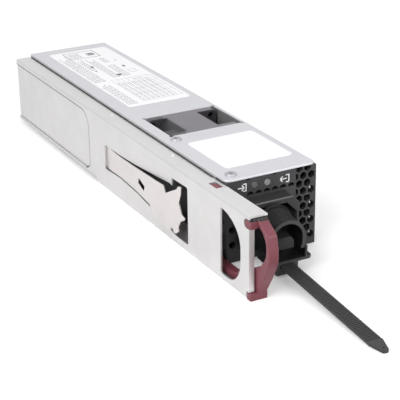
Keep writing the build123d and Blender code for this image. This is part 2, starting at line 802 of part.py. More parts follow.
with BuildPart() as cord_strap:
    with BuildSketch(strap_plane.offset(-strap_thickness / 2)) as strap_outline:
        Polygon(
            (-strap_width / 2, -head_deep / 2),
            (-strap_width / 2, strap_taper - strap_length),
            (-strap_tip / 2, -strap_length),
            (strap_tip / 2, -strap_length),
            (strap_width / 2, strap_taper - strap_length),
            (strap_width / 2, -head_deep / 2),
            align=None,
        )
        fillet(strap_outline.vertices().group_by(Axis.Y)[0], tip_radius)
        with Locations((0, tip_hole_back - strap_length)):
            Circle(tip_hole_radius, mode=Mode.SUBTRACT)
    extrude(amount=strap_thickness)
    with BuildSketch(strap_plane.offset(strap_thickness / 2 - tooth_depth)) as tooth_grooves:
        tooth_count = int((teeth_to - teeth_from) / tooth_pitch)
        with Locations(*[(0, -teeth_from - i * tooth_pitch) for i in range(tooth_count)]):
            Rectangle(strap_width, tooth_groove)
    extrude(amount=tooth_depth, mode=Mode.SUBTRACT)
    with BuildSketch(across(front_y - seat_gap)) as strap_head:
        rect(
            strap_x - head_width / 2,
            strap_x + head_width / 2,
            strap_root_z - head_below,
            strap_root_z + head_above,
        )
        fillet(strap_head.vertices(), head_corner)
    extrude(amount=head_deep)
    with BuildSketch(across(front_y - seat_gap)) as peg:
        with Locations((strap_x, peg_z)):
            Circle(peg_radius)
    extrude(amount=-(face_thickness + 2 * seat_gap + barb_length))
    with BuildSketch(across(front_y + face_thickness + seat_gap)) as barb:
        with Locations((strap_x, peg_z)):
            Circle(barb_radius)
    extrude(amount=-barb_length, taper=20)
cord_strap.part.label = "cord_strap"
export_step(cord_strap.part, "parts/cord_strap.step")


# Cord clip: a ratchet block on the strap, a thumb plate and a rimmed spring arch for the cord
clip_front = 23.0
clip_length = 10.0
clip_clear = 0.25
block_width = 11.0
block_under = 4.2
block_corner = 1.2
plate_low = 0.9
plate_thickness = 1.0
plate_left = 9.0
plate_right = 12.8
tab_corner = 2.5
tab_length = 6.2
arch_radius = 8.9
rim_proud = 0.6
rim_length = 1.3
arch_wall = 1.4
arch_centre = 11.75
arch_front = clip_front - 0.6
arch_depth = 12.6
arch_rise = 14.0
post_width = 0.7
post_height = 7.5
arch_slit = 0.2
hook_end = 6.5
hook_reach = 0.6
hook_height = 1.2
post_left = arch_radius + arch_slit
rise_cos, rise_sin = cos(radians(arch_rise)), sin(radians(arch_rise))
arch_back = (yaw_sin * rise_cos, yaw_cos * rise_cos, rise_sin)


def along_strap(distance, beyond=0.0):
    """A plane square to the strap ahead of the face, or beyond that up the arch's own slope."""
    origin = tuple(
        start + distance * ahead + beyond * back
        for start, ahead, back in zip((strap_x, front_y, strap_root_z), strap_ahead, arch_back)
    )
    return Plane(origin=origin, x_dir=strap_side, z_dir=strap_ahead)


with BuildPart() as cord_clip:
    with BuildSketch(along_strap(clip_front)) as clip_section:
        rect(-block_width / 2, block_width / 2, -block_under, plate_low)
        fillet(clip_section.vertices().group_by(Axis.Y)[0], block_corner)
        rect(-plate_left, post_left + post_width, plate_low, plate_low + plate_thickness)
        rect(-arch_radius, -arch_radius + arch_wall, plate_low, hook_end)
        rect(post_left, post_left + post_width, plate_low, post_height)
        rect(
            -strap_width / 2 - clip_clear,
            strap_width / 2 + clip_clear,
            -strap_thickness / 2 - clip_clear,
            strap_thickness / 2 + clip_clear,
            mode=Mode.SUBTRACT,
        )
    extrude(amount=-clip_length)
    for arch_start, arch_length, arch_outer in (
        (0.0, arch_depth, arch_radius - rim_proud),
        (0.0, rim_length, arch_radius),
        (arch_depth - rim_length, rim_length, arch_radius),
    ):
        with BuildSketch(along_strap(arch_front, arch_start)) as arch_section:
            with Locations((0, arch_centre)):
                Circle(arch_outer)
                Circle(arch_radius - arch_wall, mode=Mode.SUBTRACT)
            rect(-arch_outer, arch_outer, 0, arch_centre, mode=Mode.SUBTRACT)
            rect(-arch_outer, -arch_radius + arch_wall, plate_low + plate_thickness / 2, arch_centre)
            rect(arch_radius - arch_wall, arch_outer, hook_end, arch_centre)
            rect(
                arch_radius - arch_wall - hook_reach,
                arch_radius - arch_wall,
                hook_end,
                hook_end + hook_height,
            )
        extrude(amount=arch_length, dir=arch_back)
    with BuildSketch(strap_plane.offset(plate_low)) as thumb_tab:
        rect(post_left, plate_right, -clip_front, tab_length - clip_front)
        fillet(thumb_tab.vertices().group_by(Axis.X)[-1], tab_corner)
    extrude(amount=plate_thickness)
cord_clip.part.label = "cord_clip"
export_step(cord_clip.part, "parts/cord_clip.step")


# Fan housing: two square flanges on an eight-sided barrel, with a motor plate on four struts
fan_flange = 3.2
fan_wall = 1.2
fan_corner = 3.0
fan_hole_spacing = fan_size - 5.9
fan_hole = 1.5
hub_radius = 9.5
strut_width = 1.8
strut_depth = 2.6
strut_root = 1.0
bearing_radius = 3.0
shaft_radius = 1.5
shaft_clear = 0.05
rotor_front = fan_front + 2.0
rotor_depth = 20.0
bearing_length = 14.0
bore_radius = fan_size / 2 - fan_wall
lead_box_width = 7.0
lead_box_length = 10.0
lead_box_drop = 2.2
lead_box_height = 5.0
lead_box_inset = 2.4

with BuildPart() as fan_frame:
    with BuildSketch(across(fan_front)) as barrel:
        with Locations((fan_axis_x, fan_axis_z)):
            RegularPolygon(fan_size / 2, 8, major_radius=False, rotation=22.5)
    extrude(amount=-fan_depth)
    for flange_y in (fan_front, fan_rear - fan_flange):
        with BuildSketch(across(flange_y)) as flange:
            with Locations((fan_axis_x, fan_axis_z)):
                RectangleRounded(fan_size, fan_size, fan_corner)
                with GridLocations(fan_hole_spacing, fan_hole_spacing, 2, 2):
                    Circle(fan_hole, mode=Mode.SUBTRACT)
        extrude(amount=-fan_flange)
    with BuildSketch(across(fan_front + fan_flange)) as lead_box:
        rect(
            fan_left + lead_box_inset,
            fan_left + lead_box_inset + lead_box_width,
            fan_axis_z + fan_size / 2 - lead_box_drop - lead_box_height,
            fan_axis_z + fan_size / 2 - lead_box_drop,
        )
    extrude(amount=-lead_box_length)
    with BuildSketch(across(fan_front)) as bore:
        with Locations((fan_axis_x, fan_axis_z)):
            Circle(bore_radius)
    extrude(amount=-fan_depth, mode=Mode.SUBTRACT)
    with BuildSketch(across(fan_rear - strut_depth)) as motor_plate:
        with Locations((fan_axis_x, fan_axis_z)):
            Circle(hub_radius)
            with PolarLocations((hub_radius + bore_radius) / 2, 4, 45):
                Rectangle(bore_radius - hub_radius + strut_root, strut_width)
    extrude(amount=-strut_depth)
    with BuildSketch(across(fan_rear - strut_depth)) as bearing:
        with Locations((fan_axis_x, fan_axis_z)):
            Circle(bearing_radius)
    extrude(amount=bearing_length)
    with BuildSketch(across(fan_rear - strut_depth - bearing_length)) as bearing_bore:
        with Locations((fan_axis_x, fan_axis_z)):
            Circle(shaft_radius + shaft_clear)
    extrude(amount=-(bearing_length + strut_depth / 2), mode=Mode.SUBTRACT)
fan_frame.part.label = "fan_frame"
export_step(fan_frame.part, "parts/fan_frame.step")


# Fan stator: the coil stack on the bearing tube, inside the rotor's hub
stator_radius = 7.4
stator_length = 9.0
stator_slots = 6
stator_slot_depth = 2.0
stator_slot_width = 1.2
stator_gap = 1.0

with BuildPart() as fan_stator:
    with BuildSketch(across(fan_rear - strut_depth - stator_gap)) as stack:
        with Locations((fan_axis_x, fan_axis_z)):
            Circle(stator_radius)
            Circle(bearing_radius + shaft_clear, mode=Mode.SUBTRACT)
            with PolarLocations(stator_radius, stator_slots):
                Rectangle(2 * stator_slot_depth, stator_slot_width, mode=Mode.SUBTRACT)
    extrude(amount=stator_length)
fan_stator.part.label = "fan_stator"
export_step(fan_stator.part, "parts/fan_stator.step")


# Fan rotor: a cup-shaped hub on a steel shaft, with twisted blades
blade_count = 7
blade_tip_gap = 0.6
blade_thickness = 1.1
blade_root_chord = 16.3
blade_tip_chord = 18.2
blade_root_pitch = 34.0
blade_tip_pitch = 54.0
blade_overlap = 0.8
blade_trim = 1.0
blade_turn = 12.0
hub_wall = 1.2
hub_edge = 1.2
shaft_end_gap = 0.3
shaft_end = fan_rear - strut_depth / 2 - shaft_end_gap
blade_tip = bore_radius - blade_tip_gap
blade_y = rotor_front + rotor_depth / 2

with BuildPart() as fan_rotor:
    with BuildSketch(across(rotor_front)) as hub:
        with Locations((fan_axis_x, fan_axis_z)):
            Circle(hub_radius)
    extrude(amount=-rotor_depth)
    chamfer(fan_rotor.faces().sort_by(Axis.Y)[0].edges(), hub_edge)
    for blade in range(blade_count):
        turn = radians(360 / blade_count * blade + blade_turn)
        outward = (cos(turn), 0, sin(turn))
        for radius, chord, pitch in (
            (hub_radius - blade_overlap, blade_root_chord, blade_root_pitch),
            (blade_tip + blade_trim, blade_tip_chord, blade_tip_pitch),
        ):
            origin = (fan_axis_x + radius * outward[0], blade_y, fan_axis_z + radius * outward[2])
            with BuildSketch(Plane(origin=origin, x_dir=(0, 1, 0), z_dir=outward)) as blade_section:
                Rectangle(chord, blade_thickness, rotation=pitch)
        loft(ruled=True)
    with BuildSketch(across(rotor_front)) as tip_circle:
        with Locations((fan_axis_x, fan_axis_z)):
            Circle(blade_tip)
    extrude(amount=-rotor_depth, mode=Mode.INTERSECT)
    with BuildSketch(across(rotor_front + hub_wall)) as cup:
        with Locations((fan_axis_x, fan_axis_z)):
            Circle(hub_radius - hub_wall)
    extrude(amount=-rotor_depth, mode=Mode.SUBTRACT)
    with BuildSketch(across(rotor_front + hub_wall / 2)) as shaft:
        with Locations((fan_axis_x, fan_axis_z)):
            Circle(shaft_radius)
    extrude(amount=-(shaft_end - rotor_front - hub_wall / 2))
fan_rotor.part.label = "fan_rotor"
export_step(fan_rotor.part, "parts/fan_rotor.step")


# Boards: a filter board behind the inlet, and the main board with the output edge
board_top = card_z + card_board
board_side = 1.6
board_left = inner_left + board_side
board_right = inner_right - board_side
filter_front = front_y + 14.5
filter_rear = fan_front - 1.5
main_front = fan_rear + 2.0
main_rear = rear_y - sheet - 1.0
tongue_reach = 11.5
tongue_corner = 1.0
tongue_edge = 0.4
standoff_inset = 4.0
filter_hole_setback = 10.0
board_hole_radius = 1.4
filter_holes = [
    (x, y)
    for x in (board_left + standoff_inset, board_right - standoff_inset)
    for y in (filter_front + filter_hole_setback, filter_rear - standoff_inset)
]
main_holes = [
    (x, y)
    for x in (board_left + standoff_inset, board_right - standoff_inset)
    for y in (main_front + standoff_inset, main_rear - standoff_inset)
]

with BuildPart() as filter_board:
    with BuildSketch(Plane.XY.offset(card_z)) as filter_outline:
        rect(board_left, board_right, filter_front, filter_rear)
        with Locations(*filter_holes):
            Circle(board_hole_radius, mode=Mode.SUBTRACT)
    extrude(amount=card_board)
filter_board.part.label = "filter_board"
export_step(filter_board.part, "parts/filter_board.step")

with BuildPart() as main_board:
    with BuildSketch(Plane.XY.offset(card_z)) as main_outline:
        rect(board_left, board_right, main_front, main_rear)
        rect(card_left, card_right, main_rear, rear_y + tongue_reach)
        chamfer(main_outline.vertices().group_by(Axis.Y)[-1], tongue_corner)
        with Locations(*main_holes):
            Circle(board_hole_radius, mode=Mode.SUBTRACT)
    extrude(amount=card_board)
    chamfer(main_board.faces().sort_by(Axis.Y)[-1].edges().filter_by(Axis.X), tongue_edge)
main_board.part.label = "main_board"
export_step(main_board.part, "parts/main_board.step")


# Gold contact pads on both faces of the output edge
pad_pitch = 2.8
pad_width = 2.0
pad_length = 8.0
pad_thickness = 0.06
pad_setback = 0.8
pad_margin = 0.6
pad_count = int((card_right - card_left - 2 * pad_margin) / pad_pitch)
pad_x = (card_left + card_right) / 2
pad_y = rear_y + tongue_reach - pad_setback - pad_length / 2

with BuildPart() as edge_contacts:
    for pad_z in (board_top, card_z - pad_thickness):
        with BuildSketch(Plane.XY.offset(pad_z)) as pads:
            with Locations((pad_x, pad_y)):
                with GridLocations(pad_pitch, 1, pad_count, 1):
                    Rectangle(pad_width, pad_length)
        extrude(amount=pad_thickness)
edge_contacts.part.label = "edge_contacts"
export_step(edge_contacts.part, "parts/edge_contacts.step")


# Insulating sheet on the floor, six-sided standoffs through it, and the board screws
film_thickness = 0.3
film_side = 1.0
film_hole_radius = 3.5
standoff_flat = 5.0
standoff_hole = 1.25
board_screw_head = 1.4
board_screw_reach = 2.4

with BuildPart() as insulator_film:
    with BuildSketch(Plane.XY.offset(sheet)) as film:
        rect(inner_left + film_side, inner_right - film_side, filter_front, filter_rear)
        rect(inner_left + film_side, inner_right - film_side, main_front, main_rear)
        with Locations(*(filter_holes + main_holes)):
            Circle(film_hole_radius, mode=Mode.SUBTRACT)
    extrude(amount=film_thickness)
insulator_film.part.label = "insulator_film"
export_step(insulator_film.part, "parts/insulator_film.step")

with BuildPart() as board_standoffs:
    with BuildSketch(Plane.XY.offset(sheet)) as standoffs:
        with Locations(*(filter_holes + main_holes)):
            RegularPolygon(standoff_flat / 2, 6, major_radius=False)
            Circle(standoff_hole, mode=Mode.SUBTRACT)
    extrude(amount=card_z - sheet)
board_standoffs.part.label = "board_standoffs"
export_step(board_standoffs.part, "parts/board_standoffs.step")

with BuildPart() as board_screws:
    with Locations(*[(x, y, board_top) for x, y in filter_holes + main_holes]):
        Cylinder(screw_radius, card_board + board_screw_reach, align=(Align.CENTER, Align.CENTER, Align.MAX))
        Cylinder(screw_head_radius, board_screw_head, align=(Align.CENTER, Align.CENTER, Align.MIN))
        Box(cross_width, cross_length, 2 * (board_screw_head + cross_depth), mode=Mode.SUBTRACT)
board_screws.part.label = "board_screws"
export_step(board_screws.part, "parts/board_screws.step")


# Filter parts: a ring choke, a film capacitor and a fuse
choke_radius = 9.5
choke_ring = 4.0
choke_height = 9.0
choke_edge = 1.2
choke_x = board_left + 10.5
choke_y = filter_front + 24.0
choke_foot_radius = 1.4
choke_foot_height = 2.5
part_lift = 1.0
film_cap = (18.0, 9.0, 15.0)
film_cap_x = board_right - 17.3
film_cap_y = filter_front + 9.5
film_cap_edge = 0.8
fuse_radius = 2.6
fuse_length = 20.0
fuse_x = board_right - 4.5
fuse_front = filter_front + 16.0
fuse_clip = 0.6
fuse_clip_length = 3.6
fuse_foot = 1.5
fuse_z = board_top + part_lift + fuse_radius

with BuildPart() as emi_choke:
    with BuildSketch(Plane.XY.offset(board_top + part_lift)) as ring_base:
        with Locations((choke_x, choke_y)):
            Circle(choke_radius)
            Circle(choke_radius - choke_ring, mode=Mode.SUBTRACT)
    extrude(amount=choke_height)
    chamfer(emi_choke.faces().filter_by(Axis.Z).edges(), choke_edge)
    with BuildSketch(Plane.XY.offset(board_top)) as choke_feet:
        with Locations((choke_x, choke_y)):
            with GridLocations(2 * choke_radius - choke_ring, 1, 2, 1):
                Circle(choke_foot_radius)
    extrude(amount=choke_foot_height)
emi_choke.part.label = "emi_choke"
export_step(emi_choke.part, "parts/emi_choke.step")

with BuildPart() as filter_capacitor:
    with Locations((film_cap_x, film_cap_y, board_top)):
        Box(*film_cap, align=(Align.CENTER, Align.CENTER, Align.MIN))
    chamfer(filter_capacitor.edges().filter_by(Axis.Z), film_cap_edge)
filter_capacitor.part.label = "filter_capacitor"
export_step(filter_capacitor.part, "parts/filter_capacitor.step")

with BuildPart() as line_fuse:
    with BuildSketch(across(fuse_front)) as fuse_body:
        with Locations((fuse_x, fuse_z)):
            Circle(fuse_radius)
    extrude(amount=-fuse_length)
    for clip_y in (fuse_front, fuse_front + fuse_length - fuse_clip_length):
        with BuildSketch(across(clip_y)) as clip_foot:
            with Locations((fuse_x, fuse_z)):
                Circle(fuse_radius + fuse_clip)
            rect(fuse_x - fuse_foot, fuse_x + fuse_foot, board_top, fuse_z)
        extrude(amount=-fuse_clip_length)
line_fuse.part.label = "line_fuse"
export_step(line_fuse.part, "parts/line_fuse.step")


# Power parts on the main board: each takes the room that its neighbours and the lid leave
part_gap = 1.1
lid_room = 6.6
can_lid_room = 3.0
stage_length = main_rear - main_front
tall_part = cover_bottom - board_top - lid_room
sink_thickness = 2.0
fin_count = 5
fin_depth = 4.0
fin_thickness = 1.0
fin_start = 5.0
fin_pitch = (tall_part - fin_start - fin_thickness) / (fin_count - 1)
sink_primary_x = board_right - 10.8
sink_output_x = board_left + 5.6
sink_primary_y = (main_front + 0.062 * stage_length, main_front + 0.357 * stage_length)
sink_output_y = (main_front + 0.48 * stage_length, main_front + 0.74 * stage_length)
card_face_x = board_left + 0.6
control_front = main_front + 0.078 * stage_length
control_length = 0.248 * stage_length
control_height = tall_part - 2.0
control_board = 1.2
chip_size = 6.0
chip_height = 1.0
chip_count = 3
bulk_left = card_face_x + control_board + chip_height + part_gap
bulk_width_room = sink_primary_x - part_gap - bulk_left
bulk_height_room = cover_bottom - can_lid_room - board_top
bulk_radius = min(bulk_width_room, bulk_height_room) / 2
bulk_front = main_front + 0.07 * stage_length
bulk_length = 0.31 * stage_length
bulk_edge = 1.0
transformer_left = sink_output_x + sink_thickness + 2.0
transformer_gap = 1.6
bobbin_radius = (board_right - transformer_left) / 2 - transformer_gap
bobbin_height = 16.0
bobbin_edge = 0.5
core_margin = 2.0
core_length = 20.0
transformer_x = (board_right + transformer_left) / 2
transformer_y = main_front + 0.56 * stage_length
output_cap_radius = 4.0
output_cap_gap = 0.8
output_cap_height = 16.0
output_cap_edge = 0.5
output_cap_columns = 3
output_cap_rows = 2
output_cap_setback = 16.0

with BuildPart() as bulk_capacitor:
    with BuildSketch(across(bulk_front)) as can:
        with Locations((bulk_left + bulk_width_room / 2, board_top + bulk_radius)):
            Circle(bulk_radius)
    extrude(amount=-bulk_length)
    chamfer(bulk_capacitor.faces().filter_by(Axis.Y).edges(), bulk_edge)
bulk_capacitor.part.label = "bulk_capacitor"
export_step(bulk_capacitor.part, "parts/bulk_capacitor.step")

for sink_name, sink_x, sink_span, fins_right in (
    ("heat_sink_primary", sink_primary_x, sink_primary_y, True),
    ("heat_sink_output", sink_output_x, sink_output_y, False),
):
    with BuildPart() as heat_sink:
        with BuildSketch(across(sink_span[0])) as sink_section:
            rect(sink_x, sink_x + sink_thickness, board_top, board_top + tall_part)
            for fin in range(fin_count):
                fin_z = board_top + fin_start + fin * fin_pitch
                if fins_right:
                    rect(sink_x, sink_x + sink_thickness + fin_depth, fin_z, fin_z + fin_thickness)
                else:
                    rect(sink_x - fin_depth, sink_x + sink_thickness, fin_z, fin_z + fin_thickness)
        extrude(amount=sink_span[0] - sink_span[1])
    heat_sink.part.label = sink_name
    export_step(heat_sink.part, "parts/" + sink_name + ".step")

with BuildPart() as transformer:
    with Locations((transformer_x, transformer_y, board_top)):
        Box(
            2 * (bobbin_radius - core_margin),
            core_length,
            tall_part,
            align=(Align.CENTER, Align.CENTER, Align.MIN),
        )
    with Locations((transformer_x, transformer_y, board_top + (tall_part - bobbin_height) / 2)):
        Cylinder(bobbin_radius, bobbin_height, align=(Align.CENTER, Align.CENTER, Align.MIN))
    chamfer(transformer.edges().filter_by(GeomType.CIRCLE), bobbin_edge)
transformer.part.label = "transformer"
export_step(transformer.part, "parts/transformer.step")

with BuildPart() as output_capacitors:
    with BuildSketch(Plane.XY.offset(board_top)) as output_cans:
        can_pitch = 2 * output_cap_radius + output_cap_gap
        with Locations((box_mid_x, main_rear - output_cap_setback)):
            with GridLocations(can_pitch, can_pitch, output_cap_columns, output_cap_rows):
                Circle(output_cap_radius)
    extrude(amount=output_cap_height)
    chamfer(output_capacitors.faces().filter_by(Axis.Z).group_by(Axis.Z)[-1].edges(), output_cap_edge)
output_capacitors.part.label = "output_capacitors"
export_step(output_capacitors.part, "parts/output_capacitors.step")

with BuildPart() as control_card:
    with BuildSketch(Plane.YZ.offset(card_face_x)) as card_outline:
        rect(control_front, control_front + control_length, board_top, board_top + control_height)
    extrude(amount=control_board)
    with BuildSketch(Plane.YZ.offset(card_face_x + control_board)) as chips:
        with Locations((control_front + control_length / 2, board_top + control_height / 2)):
            with GridLocations(control_length / chip_count, 1, chip_count, 1):
                Rectangle(chip_size, chip_size)
    extrude(amount=chip_height)
control_card.part.label = "control_card"
export_step(control_card.part, "parts/control_card.step")
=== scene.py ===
"""A plug-in server power supply: the finish of every piece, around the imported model."""
import math
import random

import bmesh
import bpy
from mathutils import Matrix, Vector


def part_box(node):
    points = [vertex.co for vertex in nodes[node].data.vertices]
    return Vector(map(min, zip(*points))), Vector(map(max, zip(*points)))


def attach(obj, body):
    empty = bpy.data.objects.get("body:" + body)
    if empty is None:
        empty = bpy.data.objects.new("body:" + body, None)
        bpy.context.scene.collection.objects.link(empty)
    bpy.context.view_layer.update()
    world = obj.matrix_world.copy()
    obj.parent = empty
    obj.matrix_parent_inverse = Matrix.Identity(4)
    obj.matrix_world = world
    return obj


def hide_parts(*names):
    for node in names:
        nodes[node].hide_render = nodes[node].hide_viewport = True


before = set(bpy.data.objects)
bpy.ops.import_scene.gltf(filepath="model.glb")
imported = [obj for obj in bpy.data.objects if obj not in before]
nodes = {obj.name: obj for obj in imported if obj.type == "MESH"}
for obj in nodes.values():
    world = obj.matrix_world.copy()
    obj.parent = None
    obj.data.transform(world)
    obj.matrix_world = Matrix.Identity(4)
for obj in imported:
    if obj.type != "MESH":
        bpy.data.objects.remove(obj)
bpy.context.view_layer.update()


# The view. It stands to the left of the mains inlet and above it, with a long lens, so that the
# side channel shows along its whole length and the lid above it.
view_place = Vector((-0.2636, -0.54149, 0.2410))
view_turn = math.radians(-28.378)
view_tilt = math.radians(22.998)
view_roll = math.radians(-0.836)
view_lens = 113.94
view_sensor = 36.0

view_back = Vector((
    math.sin(view_turn) * math.cos(view_tilt),
    -math.cos(view_turn) * math.cos(view_tilt),
    math.sin(view_tilt),
))
level_right = Vector((math.cos(view_turn), math.sin(view_turn), 0.0))
level_up = view_back.cross(level_right)
view_right = level_right * math.cos(view_roll) + level_up * math.sin(view_roll)
view_up = level_up * math.cos(view_roll) - level_right * math.sin(view_roll)

camera_data = bpy.data.cameras.new("view")
camera_data.lens = view_lens
camera_data.sensor_width = view_sensor
camera_data.clip_start = 0.02
camera_data.clip_end = 20.0
camera = bpy.data.objects.new("view", camera_data)
bpy.context.scene.collection.objects.link(camera)
turn = Matrix((view_right, view_up, view_back)).transposed().to_4x4()
camera.matrix_world = Matrix.Translation(view_place) @ turn
bpy.context.scene.camera = camera
bpy.context.scene.view_settings.view_transform = "Standard"


# The studio. A white table under three broad soft lamps, on the left, overhead and in front, with a
# white surround that the metal reflects.
table_reach = 3.0
table_white = (0.86, 0.86, 0.86, 1.0)
table_lift = 0.20
surround_light = 0.55
lamps = (
    ("lamp_left", (-0.9, -0.5, 0.75), 1.0, 12.0),
    ("lamp_above", (0.25, 0.1, 1.3), 2.6, 7.6),
    ("lamp_front", (0.35, -1.1, 0.5), 0.8, 4.5),
)


def new_material(name):
    """A material with an empty node tree and its output."""
    material = bpy.data.materials.new(name)
    material.use_nodes = True
    material.node_tree.nodes.clear()
    return material, material.node_tree.nodes, material.node_tree.links


def table_top():
    """White card. Seen directly it is a little brighter, and it keeps the shadow."""
    material, tree, wires = new_material("white_card")
    out = tree.new("ShaderNodeOutputMaterial")
    card = tree.new("ShaderNodeBsdfDiffuse")
    card.inputs["Color"].default_value = table_white
    glow = tree.new("ShaderNodeEmission")
    path = tree.new("ShaderNodeLightPath")
    seen = tree.new("ShaderNodeMath")
    seen.operation = "MULTIPLY"
    seen.inputs[1].default_value = table_lift
    both = tree.new("ShaderNodeAddShader")
    wires.new(path.outputs["Is Camera Ray"], seen.inputs[0])
    wires.new(seen.outputs[0], glow.inputs["Strength"])
    wires.new(card.outputs[0], both.inputs[0])
    wires.new(glow.outputs[0], both.inputs[1])
    wires.new(both.outputs[0], out.inputs["Surface"])
    return material


table_mesh = bmesh.new()
bmesh.ops.create_grid(table_mesh, x_segments=1, y_segments=1, size=table_reach)
table_data = bpy.data.meshes.new("table")
table_mesh.to_mesh(table_data)
table_mesh.free()
table = bpy.data.objects.new("table", table_data)
bpy.context.scene.collection.objects.link(table)
table.data.materials.append(table_top())

for lamp_name, place, size, power in lamps:
    lamp_data = bpy.data.lights.new(lamp_name, "AREA")
    lamp_data.shape = "DISK"
    lamp_data.size = size
    lamp_data.energy = power
    lamp = bpy.data.objects.new(lamp_name, lamp_data)
    bpy.context.scene.collection.objects.link(lamp)
    lamp.location = place
    lamp.rotation_euler = (-Vector(place)).to_track_quat("-Z", "Y").to_euler()

# The camera and the reflections see the surround as full white, but it lights the table less.
world = bpy.data.worlds.new("surround")
bpy.context.scene.world = world
world.use_nodes = True
surround = world.node_tree.nodes
surround.clear()
surround_out = surround.new("ShaderNodeOutputWorld")
surround_white = surround.new("ShaderNodeBackground")
surround_path = surround.new("ShaderNodeLightPath")
surround_seen = surround.new("ShaderNodeMath")
surround_seen.operation = "MAXIMUM"
surround_level = surround.new("ShaderNodeMapRange")
surround_level.inputs["To Min"].default_value = surround_light
surround_level.inputs["To Max"].default_value = 1.0
world.node_tree.links.new(surround_path.outputs["Is Camera Ray"], surround_seen.inputs[0])
world.node_tree.links.new(surround_path.outputs["Is Glossy Ray"], surround_seen.inputs[1])
world.node_tree.links.new(surround_seen.outputs[0], surround_level.inputs["Value"])
world.node_tree.links.new(surround_level.outputs[0], surround_white.inputs["Strength"])
world.node_tree.links.new(surround_white.outputs[0], surround_out.inputs["Surface"])


# Side channel. Zinc-plated sheet steel, folded into a channel and riveted to the tray's left wall. The
# plating has a faint cloudy bloom, over fine rolling lines along the sheet. The rear half of the
# channel has a shallow pressed field, and the shade in its crease is painted as a thin dark line.
mm = 0.001
rolling_stretch = (1.0, 0.06, 1.0)
fine_deep = 0.02 * mm
bloom_scale = 60.0
bloom_detail = 5.0
bloom_rough = 0.62
line_scale = 2600.0
line_detail = 2.0


def group_sockets(group, inputs, outputs):
    """Names a node group's inputs and outputs."""
    for socket_name, kind, value in inputs:
        socket = group.interface.new_socket(socket_name, in_out="INPUT", socket_type=kind)
        socket.default_value = value
    for socket_name, kind in outputs:
        group.interface.new_socket(socket_name, in_out="OUTPUT", socket_type=kind)


def plating_group():
    """Zinc plating: a cloudy bloom in the colour and roughness, and rolling lines as height."""
    group = bpy.data.node_groups.new("zinc_plating", "ShaderNodeTree")
    group_sockets(
        group,
        (
            ("Vector", "NodeSocketVector", (0, 0, 0)),
            ("Pale", "NodeSocketColor", (0.7, 0.7, 0.7, 1)),
            ("Dull", "NodeSocketColor", (0.6, 0.6, 0.6, 1)),
            ("Polish", "NodeSocketFloat", 0.35),
            ("Haze", "NodeSocketFloat", 0.5),
        ),
        (("Color", "NodeSocketColor"), ("Roughness", "NodeSocketFloat"), ("Height", "NodeSocketFloat")),
    )
    tree, wires = group.nodes, group.links
    start = tree.new("NodeGroupInput")
    end = tree.new("NodeGroupOutput")
    bloom = tree.new("ShaderNodeTexNoise")
    bloom.inputs["Scale"].default_value = bloom_scale
    bloom.inputs["Detail"].default_value = bloom_detail
    bloom.inputs["Roughness"].default_value = bloom_rough
    stretch = tree.new("ShaderNodeMapping")
    stretch.inputs["Scale"].default_value = rolling_stretch
    lines = tree.new("ShaderNodeTexNoise")
    lines.inputs["Scale"].default_value = line_scale
    lines.inputs["Detail"].default_value = line_detail
    colour = tree.new("ShaderNodeMix")
    colour.data_type = "RGBA"
    rough = tree.new("ShaderNodeMapRange")
    wires.new(start.outputs["Vector"], bloom.inputs["Vector"])
    wires.new(start.outputs["Vector"], stretch.inputs["Vector"])
    wires.new(stretch.outputs[0], lines.inputs["Vector"])
    wires.new(bloom.outputs["Fac"], colour.inputs["Factor"])
    wires.new(start.outputs["Pale"], colour.inputs["A"])
    wires.new(start.outputs["Dull"], colour.inputs["B"])
    wires.new(bloom.outputs["Fac"], rough.inputs["Value"])
    wires.new(start.outputs["Polish"], rough.inputs["To Min"])
    wires.new(start.outputs["Haze"], rough.inputs["To Max"])
    wires.new(colour.outputs["Result"], end.inputs["Color"])
    wires.new(rough.outputs[0], end.inputs["Roughness"])
    wires.new(lines.outputs["Fac"], end.inputs["Height"])
    return group


zinc_plating = plating_group()


def surfaced(name, group, settings, bump, metallic=0.0, **fixed):
    """A material whose colour, roughness and fine height come from a group on Object coordinates."""
    bump_strength, bump_distance = bump
    material, tree, wires = new_material(name)
    out = tree.new("ShaderNodeOutputMaterial")
    shader = tree.new("ShaderNodeBsdfPrincipled")
    place = tree.new("ShaderNodeTexCoord")
    effect = tree.new("ShaderNodeGroup")
    effect.node_tree = group
    for socket_name, value in settings.items():
        effect.inputs[socket_name].default_value = value
    shader.inputs["Metallic"].default_value = metallic
    for socket_name, value in fixed.items():
        shader.inputs[socket_name.replace("_", " ")].default_value = value
    relief = tree.new("ShaderNodeBump")
    relief.inputs["Strength"].default_value = bump_strength
    relief.inputs["Distance"].default_value = bump_distance
    wires.new(place.outputs["Object"], effect.inputs["Vector"])
    wires.new(effect.outputs["Color"], shader.inputs["Base Color"])
    wires.new(effect.outputs["Roughness"], shader.inputs["Roughness"])
    wires.new(effect.outputs["Height"], relief.inputs["Height"])
    wires.new(relief.outputs["Normal"], shader.inputs["Normal"])
    wires.new(shader.outputs["BSDF"], out.inputs["Surface"])
    return material


def dress(material, *names):
    """Gives CAD nodes their material."""
    for name in names:
        slots = nodes[name].data.materials
        slots.clear()
        slots.append(material)


